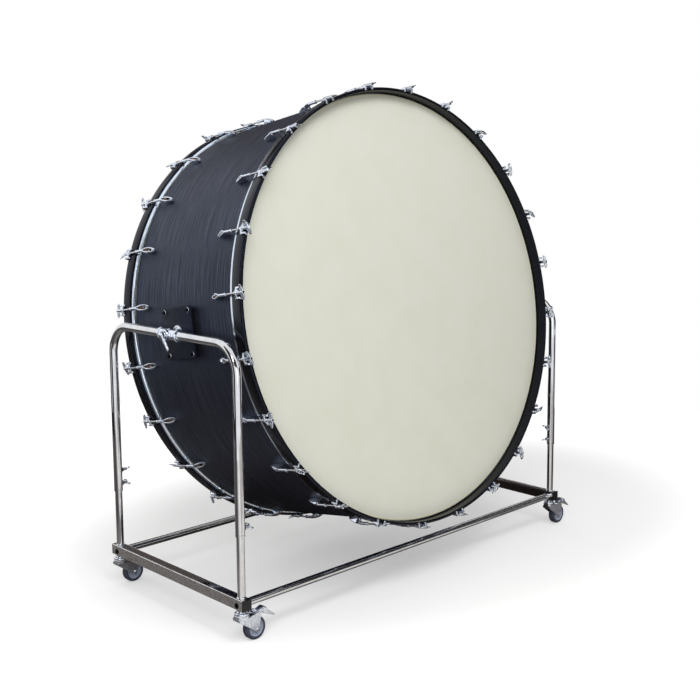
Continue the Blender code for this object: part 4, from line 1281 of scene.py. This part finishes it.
@dataclass
class Base:
    """The frame on the floor: square side bars, round rails and the legs that the bails slide on."""

    stance: Stance
    bar_width: float = 0.035
    bar_wall: float = 0.002
    bar_beyond_leg: float = 0.0243
    bar_corner: float = 0.003
    cap_flange: float = 0.0035
    cap_plug: float = 0.015
    dome_r: float = 0.0095
    dome_height: float = 0.0045

    @property
    def bar_half(self) -> float:
        """Half the side bar's length."""
        return self.stance.leg_y + self.bar_beyond_leg

    @property
    def bar_height(self) -> float:
        """The side bar's height."""
        return self.stance.bar_top - self.stance.bar_bottom

    def section(self, inset: float, corner: float) -> Outline:
        """Return the square tube's outline with rounded corners, about its middle.

        Args:
            inset: how far it lies inside the outer faces.
            corner: the radius of its corners.

        Returns:
            The outline in X and Z.
        """
        across = self.bar_width / 2 - inset - corner
        up = self.bar_height / 2 - inset - corner
        outline = []
        for (a, b), start in (((across, -up), -90), ((across, up), 0), ((-across, up), 90), ((-across, -up), 180)):
            outline += arc((a, b), corner, start, start + 90, 5)
        return outline

    def side_bar(self) -> Mesh:
        """Make the square tube, open at both ends."""
        outer = self.section(0.0, self.bar_corner)
        inner = self.section(self.bar_wall, self.bar_corner - self.bar_wall / 2)
        form = bmesh.new()
        rings = []
        for outline in (outer, inner):
            for along in (-self.bar_half, self.bar_half):
                rings.append([form.verts.new((x, along, z)) for x, z in outline])
        count = len(outer)
        for i in range(count):
            j = (i + 1) % count
            for a, b in ((0, 1), (2, 3), (0, 2), (1, 3)):
                form.faces.new([rings[a][i], rings[a][j], rings[b][j], rings[b][i]])
        tube = finished_form(form, Matrix.Identity(4))
        return moved(tube, (self.stance.bail_x, 0, (self.stance.bar_top + self.stance.bar_bottom) / 2))

    def dome_bolt(self) -> Mesh:
        """Make the domed head of a rail's bolt on its thin washer."""
        crown = [(self.dome_r * 0.86 * r, 0.0012 + (self.dome_height - 0.0012) * h)
                 for r, h in arc((0, 0), 1.0, 90, 0, 6)]
        return turned(crown + [(self.dome_r, 0.0010), (self.dome_r, 0), (0, 0)], SMALL_SEGMENTS, Axis.X)

    def cap(self) -> Mesh:
        """Make the ribbed plug and the pillowed face that closes the square tube's +Y end."""
        low_z, high_z = self.stance.bar_bottom, self.stance.bar_top
        half = self.bar_width / 2
        x = self.stance.bail_x
        face = self.bar_half + 0.0003
        flange = block((x - half, face, low_z), (x + half, face + self.cap_flange, high_z), 0.0014)
        wall = self.bar_wall + 0.0003
        plug = block((x + wall - half, face - self.cap_plug, low_z + wall),
                     (x + half - wall, face + 0.001, high_z - wall), 0.0006, 1)
        return gathered([flange, plug])

    def rail(self, end: End) -> Mesh:
        """Make a cross rail with the flared foot by which it meets each side bar."""
        reach = self.stance.bail_x - self.bar_width / 2 - 0.0003
        r = self.stance.rail_r
        half = [(r + 0.0012, reach), (r + 0.0012, reach - 0.003), (r, reach - 0.0045)]
        profile = [(0, reach)] + half + [(a, -b) for a, b in reversed(half)] + [(0, -reach)]
        rail = turned(profile, ROUND_SEGMENTS, Axis.X)
        return moved(rail, (self.stance.centre_x, end.value * self.stance.rail_y, self.stance.rail_z))

    def leg(self) -> Mesh:
        """Make a lower leg with the bead of its weld at the bar."""
        r = self.stance.leg_r
        low = self.stance.bar_top + 0.0003
        top = self.stance.leg_top
        profile = [(0, top), (r - 0.001, top), (r, top - 0.001), (r, low + 0.004), (r + 0.0022, low + 0.0012),
                   (r + 0.0022, low), (0, low)]
        return moved(turned(profile, ROUND_SEGMENTS), (self.stance.bail_x, 0, 0))

    def build(self) -> None:
        """Make every piece of the base and show it."""
        bar = self.side_bar()
        bolt_x = self.stance.bail_x + self.bar_width / 2
        bolts = gathered([moved(self.dome_bolt(), (bolt_x, way * self.stance.rail_y, self.stance.rail_z))
                          for way in (-1, 1)])
        for side in Side:
            show(f"{side.label}_square_bar", self.stance.from_centre(bar, side.turn), ROLLED_CHROME, "base",
                 f"{side.label}_side_bar")
            show(f"{side.label}_rail_bolts", self.stance.from_centre(bolts, side.turn), BLACK_OXIDE, "base")
            for end in End:
                corner = f"{side.label}_{end.label}"
                x = self.stance.centre_x + (side.value - 1) * self.stance.bail_x
                leg = moved(self.leg(), (x, end.value * self.stance.leg_y, 0))
                show(f"{corner}_leg_tube", leg, CHROME, "base", f"{corner}_lower_leg")
                cap = moved(self.cap(), (-self.stance.bail_x, 0, 0))
                cap = moved(cap, (0, 0, 0), 0.0 if end is End.REAR else math.pi, "Z")
                cap = moved(cap, (self.stance.centre_x + side.value * self.stance.bail_x, 0, 0))
                show(f"{corner}_bar_cap", cap, BLACK_PLASTIC, "base", f"{corner}_end_cap")
        for end in End:
            show(f"{end.label}_rail_tube", self.rail(end), CHROME, "base", f"{end.label}_cross_rail")


@dataclass
class Caster:
    """A swivelling, braked caster, made with its swivel at x = 0 and its wheel trailing to +X."""

    stance: Stance
    wheel_r: float = 0.0375
    wheel_width: float = 0.026
    tyre: float = 0.0105
    trail: float = 0.047
    axle_r: float = 0.004
    sheet: float = 0.003
    wheel_gap: float = 0.0015
    crown_r: float = 0.023
    crown_z: float = 0.0805
    top_gap: float = 0.004
    tip_r: float = 0.0095
    pin_x: float = 0.056
    pin_z: float = 0.084
    pin_r: float = 0.0025
    pedal_tip_x: float = 0.127
    pedal_tip_z: float = 0.057
    pad_reach: float = 0.024
    pad_lift: float = 0.0135
    pad_r: float = 0.010
    pedal_sheet: float = 0.003

    @property
    def top(self) -> float:
        """The height of the fork's top."""
        return self.stance.bar_bottom - self.top_gap

    @property
    def cheek_y(self) -> float:
        """The distance of each cheek's middle from the wheel's middle."""
        return self.wheel_width / 2 + self.wheel_gap + self.sheet / 2

    def stem(self) -> Mesh:
        """Make the fixed stem: a washer and a nut against the bar."""
        bar = self.stance.bar_bottom - 0.0003
        low = self.top + 0.0003
        washer = [(0, bar), (0.0150, bar), (0.0150, bar - 0.0014), (0.0100, bar - 0.0016), (0.0100, low + 0.0006),
                  (0.0124, low + 0.0004), (0.0124, low), (0, low)]
        return turned(washer, SMALL_SEGMENTS)

    def fork(self) -> Mesh:
        """Make the fork: a domed ball race over two pressed cheeks that run down to the axle."""
        crown = self.crown_z + self.sheet
        top = self.top
        dome = [(0.0063, top), (0.0150, top), (0.0165, top - 0.0015), (0.0175, top - 0.0040)]
        dome += arc((self.crown_r - 0.004, top - 0.0085), 0.004, 80, 0, 4)
        dome += [(self.crown_r, top - 0.0125), (self.crown_r + 0.0012, top - 0.0135),
                 (self.crown_r + 0.0012, crown - 0.002), (self.crown_r - 0.004, crown - 0.004), (0.0063, crown - 0.004)]
        race = turned(dome, ROUND_SEGMENTS, closed=True)
        x, z = self.trail, self.wheel_r
        cheek = [(-self.crown_r, crown), (-self.crown_r + 0.001, self.crown_z - 0.006)]
        cheek += arc((x, z), self.tip_r, 222, 355, 8)
        cheek += [(self.pin_x + 0.0065, self.pin_z - 0.009)]
        cheek += arc((self.pin_x, self.pin_z), 0.0065, 0, 90, 4)
        cheek += [(0.030, crown + 0.001), (self.crown_r, crown)]
        plate = flat([cheek], self.sheet, 0.0009, Plane.XZ)
        parts = [race] + [moved(plate, (0, way * self.cheek_y, 0)) for way in (-1, 1)]
        bridge = block((-self.crown_r, -self.cheek_y - self.sheet / 2, self.crown_z),
                       (self.crown_r + 0.006, self.cheek_y + self.sheet / 2, crown), 0.0012)
        nose = block((-self.crown_r, -self.cheek_y, self.crown_z - 0.006),
                     (-self.crown_r + self.sheet, self.cheek_y, crown), 0.0012)
        pin = moved(rod(self.pin_r, -self.cheek_y - 0.003, self.cheek_y + 0.003, Axis.Y, 16), (self.pin_x, 0, self.pin_z))
        return gathered(parts + [bridge, nose, pin])

    def tread(self) -> Mesh:
        """Make the tyre, gently crowned and rounded at its shoulders."""
        half = self.wheel_width / 2
        shoulder = 0.0045
        inner = self.wheel_r - self.tyre
        right = arc((self.wheel_r - shoulder - 0.0006, half - shoulder), shoulder, 0, 90, 6)
        side = [(self.wheel_r, 0.0), (self.wheel_r - 0.0002, half - shoulder)] + right[1:] + [(inner, half - 0.0006)]
        profile = side + [(r, -h) for r, h in reversed(side[1:])]
        return self.at_axle(turned(profile, 64, Axis.Y, closed=True))

    def hub(self) -> Mesh:
        """Make the wheel's body: a stepped rim, a dished web and a boss round the axle."""
        half = self.wheel_width / 2
        rim = self.wheel_r - self.tyre + 0.0002
        side = [(rim, half - 0.0012), (rim - 0.0022, half - 0.0008), (rim - 0.0030, half - 0.0026),
                (rim - 0.0050, half - 0.0062), (0.0150, half - 0.0062), (0.0138, half - 0.0040),
                (0.0105, half - 0.0034), (0.0098, half - 0.0010), (self.axle_r + 0.0003, half - 0.0010)]
        web = turned(side + [(r, -h) for r, h in reversed(side)], 64, Axis.Y, closed=True)
        rib = block((0.0128, half - 0.0080, -0.0009), (rim - 0.0026, half - 0.0030, 0.0009), 0.0005, 2)
        ribs = []
        for i in range(10):
            one = moved(rib, turn=math.tau * i / 10, about="Y")
            ribs += [one, moved(one, turn=math.pi, about="Z")]
        return self.at_axle(gathered([web] + ribs))

    def axle(self) -> Mesh:
        """Make the axle: a bolt with a domed head, and the nut on its other end."""
        outer = self.cheek_y + self.sheet / 2 + 0.0003
        shank = rod(self.axle_r, -outer, outer, Axis.Y)
        head = [(0.0068 * r, outer + 0.003 * h) for r, h in arc((0, 0), 1.0, 90, 20, 5)]
        head += [(0.0068, outer + 0.0008), (0.0068, outer), (0, outer)]
        cap = turned(head, SMALL_SEGMENTS, Axis.Y)
        nut = turned([(0, outer + 0.003), (0.0054, outer + 0.003), (0.0062, outer + 0.0024), (0.0062, outer),
                      (0, outer)], 6, Axis.Y)
        return self.at_axle(gathered([shank, cap, moved(nut, turn=math.pi, about="Z")]))

    def pedal(self) -> Mesh:
        """Make the brake pedal: pressed sides on the pin, a rolled pad and a toe that runs to a point."""
        x, z = self.pin_x, self.pin_z
        width = self.wheel_width + 2 * (self.wheel_gap - 0.0003)
        boss = arc((x, z), 0.0065, 250, 120, 6)
        pad_centre = (x + self.pad_reach, z + self.pad_lift - self.pad_r)
        pad = arc(pad_centre, self.pad_r, 100, 0, 8)
        tip = [(self.pedal_tip_x, self.pedal_tip_z + 0.0015), (self.pedal_tip_x - 0.0012, self.pedal_tip_z),
               (self.pedal_tip_x - self.pedal_sheet, self.pedal_tip_z - 0.001)]
        heel = [(pad_centre[0] + self.pad_r, z - self.pad_r - self.pedal_sheet), (x + self.pad_reach, z - 0.0065)]
        body = flat([boss + pad + tip + heel], width - 0.006, 0.0012, Plane.XZ)
        roll = moved(rod(self.pad_r - 0.0004, -width / 2, width / 2, Axis.Y, chamfer=0.002),
                     (pad_centre[0], 0, pad_centre[1]))
        for vertex in body.vertices:
            beyond = (vertex.co.x - pad_centre[0]) / (self.pedal_tip_x - pad_centre[0])
            vertex.co.y *= 1.0 - 0.55 * min(max(beyond, 0.0), 1.0)
        ears = [moved(flat([oval((x, z), (0.0062, 0.0062), 20)], 0.0022, 0.0006, Plane.XZ),
                      (0, way * (width / 2 - 0.0012), 0)) for way in (-1, 1)]
        return gathered([body, roll] + ears)

    def at_axle(self, mesh: Mesh) -> Mesh:
        """Shift a mesh made about the axle to the axle's place."""
        return moved(mesh, (self.trail, 0, self.wheel_r))

    def build(self) -> None:
        """Make the four casters and show them."""
        kinds = (("ball_race_fork", self.fork(), ZINC, "caster", "fork"), ("axle_bolt", self.axle(), ZINC, "caster", "axle"),
                 ("tyre", self.tread(), TYRE_RUBBER, "wheel", "wheel"), ("wheel_body", self.hub(), HUB_NYLON, "wheel", None),
                 ("pedal_plate", self.pedal(), ZINC, "pedal", "brake_pedal"),
                 ("stem_washer", self.stem(), ZINC, None, "caster_stem"))
        for side in Side:
            for end in End:
                corner = f"{side.label}_{end.label}"
                place = (self.stance.centre_x + side.value * self.stance.bail_x, end.value * self.stance.leg_y, 0)
                for name, mesh, finish, part, node in kinds:
                    body = f"{corner}_{part}" if part else "base"
                    nodes = (f"{corner}_{node}",) if node else ()
                    show(f"{corner}_{name}", moved(mesh, place), finish, body, *nodes)


# Floor, light and camera

@dataclass(frozen=True)
class Card:
    """A card round the drum that only polished surfaces show: its place, its size and its colour."""

    angle: float
    width: float
    low: float
    high: float
    colour: str


@dataclass
class Studio:
    """A pale floor, soft light from the front left, and the camera at the photograph's angle."""

    stance: Stance
    floor_r: float = 3.1
    floor_seen: str = "#C5C5C5"
    floor_brown: str = "#403835"
    floor_warm: str = "#8C8784"
    floor_dark: str = "#5A5655"
    floor_pale: str = "#F4F2EE"
    floor_mid: str = "#C2BDB8"
    floor_near: str = "#F4EFE8"
    carpet_grain: float = 30.0 * MM
    lift_near: float = 0.38
    lift_far: float = 0.80
    room_level: float = 0.60
    key_watts: float = 200.0
    card_distance: float = 4.6
    cards_round: tuple[Card, ...] = (
        Card(-50.0, 2.8, -2.0, 5.0, "#3C3A3C"), Card(82.0, 4.7, -2.0, 0.3, "#6E686A"),
        Card(82.0, 4.7, 0.35, 2.2, "#302E30"), Card(112.0, 6.0, 2.3, 9.0, "#2A2828"),
        Card(-100.0, 4.2, -2.0, 0.45, "#56524F"), Card(180.0, 4.8, 1.1, 3.5, "#58504E"),
        Card(-165.0, 5.6, 3.6, 9.5, "#241E2C"),
        Card(4.0, 5.0, 2.1, 5.0, "#3A3836"))
    mat_corners: tuple[float, float, float, float] = (-3.2, 1.15, 0.4, 3.3)
    mat_tone: str = "#5C5856"
    strip_r: float = 3.2
    strip_height: float = 0.13
    strip_from: float = 100.0
    strip_to: float = 170.0
    dark: str = "#14120F"
    lens: float = 55.121
    sensor: float = 36.0
    frame_drop: float = 40.0 / 700.0
    camera_offset: tuple[float, float, float] = (-2.752, -2.8631, 0.4976)
    right: tuple[float, float, float] = (0.719968, -0.693965, -0.007667)
    down: tuple[float, float, float] = (-0.090862, -0.083302, -0.992373)
    forward: tuple[float, float, float] = (0.688034, 0.715173, -0.12303)

    @property
    def facing(self) -> float:
        """The bearing from the drum to the camera, about Z."""
        return math.atan2(-self.forward[1], -self.forward[0])

    def camera(self) -> None:
        """Make the camera where the photograph was taken from."""
        data = bpy.data.cameras.new("camera")
        data.sensor_fit = "HORIZONTAL"
        data.sensor_width = self.sensor
        data.lens = self.lens
        data.shift_y = -self.frame_drop
        data.clip_end = 60.0
        camera = bpy.data.objects.new("camera", data)
        bpy.context.scene.collection.objects.link(camera)
        columns = (Vector(self.right), -Vector(self.down), -Vector(self.forward))
        camera.matrix_world = Matrix.Translation(
            Vector((self.stance.centre_x, 0, self.stance.pivot_z)) + Vector(self.camera_offset)
        ) @ Matrix(columns).transposed().to_4x4()
        bpy.context.scene.camera = camera

    def floor(self) -> None:
        """Make the round floor: white paper that keeps the cast shadow, plus a painted shadow, and painted tones in
        reflections.
        """
        material = bpy.data.materials.new("studio_paper_floor")
        material.use_nodes = True
        tree = material.node_tree
        tree.nodes.clear()
        ray = add_node(tree, "ShaderNodeLightPath")
        place = add_node(tree, "ShaderNodeTexCoord").outputs["Object"]
        reach = add_node(tree, "ShaderNodeVectorMath", {0: place}, operation="LENGTH")
        # Painted shadow: the paper glows less inside an oval round the drum, which darkens the floor beyond its cast
        # shadow.
        painted_shadow_oval = add_node(tree, "ShaderNodeMapping", {
            "Vector": place, "Location": (-0.28, -0.13, 0), "Scale": (0.70, 1.0, 0)})
        painted_shadow_reach = add_node(tree, "ShaderNodeVectorMath", {0: painted_shadow_oval.outputs[0]}, operation="LENGTH")
        level = add_node(tree, "ShaderNodeMapRange", {
            "Value": painted_shadow_reach.outputs["Value"], "From Min": 0.78, "From Max": 1.5, "To Min": self.lift_near,
            "To Max": self.lift_far}, interpolation_type="SMOOTHSTEP")
        paper = add_node(tree, "ShaderNodeBsdfDiffuse", {"Color": linear(self.floor_seen)})
        lift = add_node(tree, "ShaderNodeEmission", {"Strength": level.outputs[0]})
        seen = add_node(tree, "ShaderNodeAddShader", {0: paper.outputs[0], 1: lift.outputs[0]})
        # Painted reflections: rays other than the camera's see a floor of tones in sectors by bearing from the camera,
        # which draw dark and pale lines in polished metal.
        ahead = add_node(tree, "ShaderNodeMapping", {"Vector": place, "Rotation": (0, 0, -self.facing)})
        split = add_node(tree, "ShaderNodeSeparateXYZ", {0: ahead.outputs[0]})
        bearing = add_node(tree, "ShaderNodeMath", {
            0: split.outputs["Y"], 1: split.outputs["X"]}, operation="ARCTAN2")
        share = add_node(tree, "ShaderNodeMapRange", {
            "Value": bearing.outputs[0], "From Min": -math.pi, "From Max": math.pi})
        reflected_tones = add_node(tree, "ShaderNodeValToRGB", {"Fac": share.outputs[0]})
        stops = ((-86, self.floor_warm), (-72, self.floor_dark), (-38, self.floor_dark), (-24, self.floor_mid),
                 (-14, self.floor_pale), (3, self.floor_pale), (13, self.floor_mid), (66, self.floor_mid),
                 (79, self.floor_dark), (120, self.floor_dark), (136, self.floor_warm))
        ramp = reflected_tones.color_ramp
        ramp.elements.remove(ramp.elements[1])
        ramp.elements[0].color = linear(self.floor_warm)
        for angle, colour in stops:
            ramp.elements.new(0.5 + angle / 360).color = linear(colour)
        outward = add_node(tree, "ShaderNodeMapRange", {
            "Value": reach.outputs["Value"], "From Min": 1.3, "From Max": 1.7}, interpolation_type="SMOOTHSTEP")
        # Painted shadow: under the drum this floor turns dark brown, which the shell and hoops reflect as shaded floor.
        beyond = add_node(tree, "ShaderNodeMapRange", {
            "Value": reach.outputs["Value"], "From Min": 0.60, "From Max": 0.90}, interpolation_type="SMOOTHSTEP")
        under = add_node(tree, "ShaderNodeMix", {
            0: beyond.outputs[0], 6: linear(self.floor_brown), 7: linear(self.floor_warm)}, data_type="RGBA")
        # Painted light: a pale patch in front of the stand, which the casters and front rail reflect as lit floor.
        spot = add_node(tree, "ShaderNodeSeparateXYZ", {0: place})
        forward = add_node(tree, "ShaderNodeMapRange", {
            "Value": spot.outputs["Y"], "From Min": -0.36, "From Max": -0.46}, interpolation_type="SMOOTHSTEP")
        leftward = add_node(tree, "ShaderNodeMapRange", {
            "Value": spot.outputs["X"], "From Min": 0.65, "From Max": 0.45}, interpolation_type="SMOOTHSTEP")
        painted_light_mask = add_node(tree, "ShaderNodeMath", {0: forward.outputs[0], 1: leftward.outputs[0]}, operation="MULTIPLY")
        inner = add_node(tree, "ShaderNodeMix", {
            0: painted_light_mask.outputs[0], 6: under.outputs[2], 7: linear(self.floor_near)}, data_type="RGBA")
        tone = add_node(tree, "ShaderNodeMix", {
            0: outward.outputs[0], 6: inner.outputs[2], 7: reflected_tones.outputs["Color"]}, data_type="RGBA")
        reflected_mottle = add_node(tree, "ShaderNodeTexNoise", {
            "Vector": place, "Scale": 1 / self.carpet_grain, "Detail": 2.0, "Roughness": 0.6})
        shade = add_node(tree, "ShaderNodeMapRange", {
            "Value": reflected_mottle.outputs["Fac"], "From Min": 0.35, "From Max": 0.65, "To Min": 0.66, "To Max": 1.04})
        mottled_tone = add_node(tree, "ShaderNodeVectorMath", {
            0: tone.outputs[2], "Scale": shade.outputs[0]}, operation="SCALE")
        warm = add_node(tree, "ShaderNodeBsdfDiffuse", {"Color": mottled_tone.outputs[0]})
        mixed = add_node(tree, "ShaderNodeMixShader", {
            0: ray.outputs["Is Camera Ray"], 1: warm.outputs[0], 2: seen.outputs[0]})
        add_node(tree, "ShaderNodeOutputMaterial", {"Surface": mixed.outputs[0]})
        mesh = turned([(0, 0), (self.floor_r, 0), (self.floor_r, -0.01), (0, -0.01)], 128)
        floor = bpy.data.objects.new("floor", mesh)
        mesh.materials.append(material)
        bpy.context.scene.collection.objects.link(floor)

    def cards(self) -> None:
        """Make the dark cards that draw the lines along polished tubes, seen in reflections alone."""
        pieces = []
        for number, card in enumerate(self.cards_round):
            turn = self.facing + math.radians(card.angle)
            half = card.width / 2
            mesh = flat([[(-half, card.low), (half, card.low), (half, card.high), (-half, card.high)]], 0.02,
                        0.002, Plane.XZ)
            place = (self.card_distance * math.cos(turn), self.card_distance * math.sin(turn), 0)
            pieces.append((f"card_{number}", moved(mesh, place, turn + math.pi / 2, "Z"), card.colour))
        inside = arc((0, 0), self.strip_r, self.strip_from, self.strip_to, 24)
        outside = arc((0, 0), self.strip_r + 0.02, self.strip_to, self.strip_from, 24)
        strip = moved(flat([inside + outside], self.strip_height, 0.002), (0, 0, self.strip_height / 2))
        low_x, low_y, high_x, high_y = self.mat_corners
        mat = moved(flat([[(low_x, low_y), (high_x, low_y), (high_x, high_y), (low_x, high_y)]], 0.004, 0.001),
                    (0, 0, 0.003))
        for name, mesh, colour in pieces + [("low_strip", strip, self.dark), ("mat", mat, self.mat_tone)]:
            material = bpy.data.materials.new(f"painted_{name}")
            material.use_nodes = True
            shader = material.node_tree.nodes["Principled BSDF"]
            shader.inputs["Base Color"].default_value = linear(colour)
            shader.inputs["Roughness"].default_value = 0.9
            thing = bpy.data.objects.new(name, mesh)
            mesh.materials.append(material)
            bpy.context.scene.collection.objects.link(thing)
            thing.visible_camera = False
            thing.visible_diffuse = False
            thing.visible_shadow = False
            thing.visible_transmission = False

    def lamp(self, name: str, place: tuple[float, float, float], size: tuple[float, float], watts: float,
             reflected: bool) -> None:
        """Hang a soft lamp that faces the drum.

        Args:
            name: its name.
            place: where it hangs.
            size: its width and height.
            watts: its power.
            reflected: whether metal and lacquer show it.
        """
        data = bpy.data.lights.new(name, "AREA")
        data.shape = "RECTANGLE"
        data.size, data.size_y = size
        data.energy = watts
        thing = bpy.data.objects.new(name, data)
        thing.location = place
        aim = Vector((self.stance.centre_x, 0, self.stance.pivot_z)) - Vector(place)
        thing.rotation_euler = aim.to_track_quat("-Z", "Y").to_euler()
        thing.visible_glossy = reflected
        thing.visible_camera = False
        bpy.context.scene.collection.objects.link(thing)

    def light(self) -> None:
        """Make the white room and the soft lamp at the front left."""
        world = bpy.data.worlds.new("white_room")
        world.use_nodes = True
        tree = world.node_tree
        tree.nodes.clear()
        ray = add_node(tree, "ShaderNodeLightPath")
        seen = add_node(tree, "ShaderNodeMath", {
            0: ray.outputs["Is Camera Ray"], 1: ray.outputs["Is Glossy Ray"]}, operation="MAXIMUM")
        shown = add_node(tree, "ShaderNodeMath", {
            0: seen.outputs[0], 1: ray.outputs["Is Transmission Ray"]}, operation="MAXIMUM")
        soft = add_node(tree, "ShaderNodeBackground", {"Color": (1, 1, 1, 1), "Strength": self.room_level})
        white = add_node(tree, "ShaderNodeBackground", {"Color": (1, 1, 1, 1), "Strength": 1.0})
        mixed = add_node(tree, "ShaderNodeMixShader", {0: shown.outputs[0], 1: soft.outputs[0], 2: white.outputs[0]})
        add_node(tree, "ShaderNodeOutputWorld", {"Surface": mixed.outputs[0]})
        bpy.context.scene.world = world
        self.lamp("soft_key", (-4.2, -4.4, 5.6), (3.2, 3.2), self.key_watts, False)
        self.lamp("top_front", (-1.0, -3.0, 4.6), (1.6, 1.6), 70.0, False)
        self.lamp("tall_strip", (-3.0, -4.1, 1.5), (0.5, 2.8), 11.0, True)
        self.lamp("glint", (-4.2, -2.0, 3.4), (1.3, 1.3), 24.0, True)

    def build(self) -> None:
        """Set up the room, the light and the camera."""
        bpy.context.scene.view_settings.view_transform = "Standard"
        self.camera()
        self.light()
        self.floor()
        self.cards()


def main() -> None:
    """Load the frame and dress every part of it."""
    logging.basicConfig(level=logging.INFO, format="%(name)s %(message)s")
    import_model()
    stance = Stance.read()
    Studio(stance).build()
    drum = Drum(stance)
    drum.build()
    SideMount(drum).build()
    Bail(stance).build()
    Base(stance).build()
    Caster(stance).build()


if __name__ == "__main__":
    main()
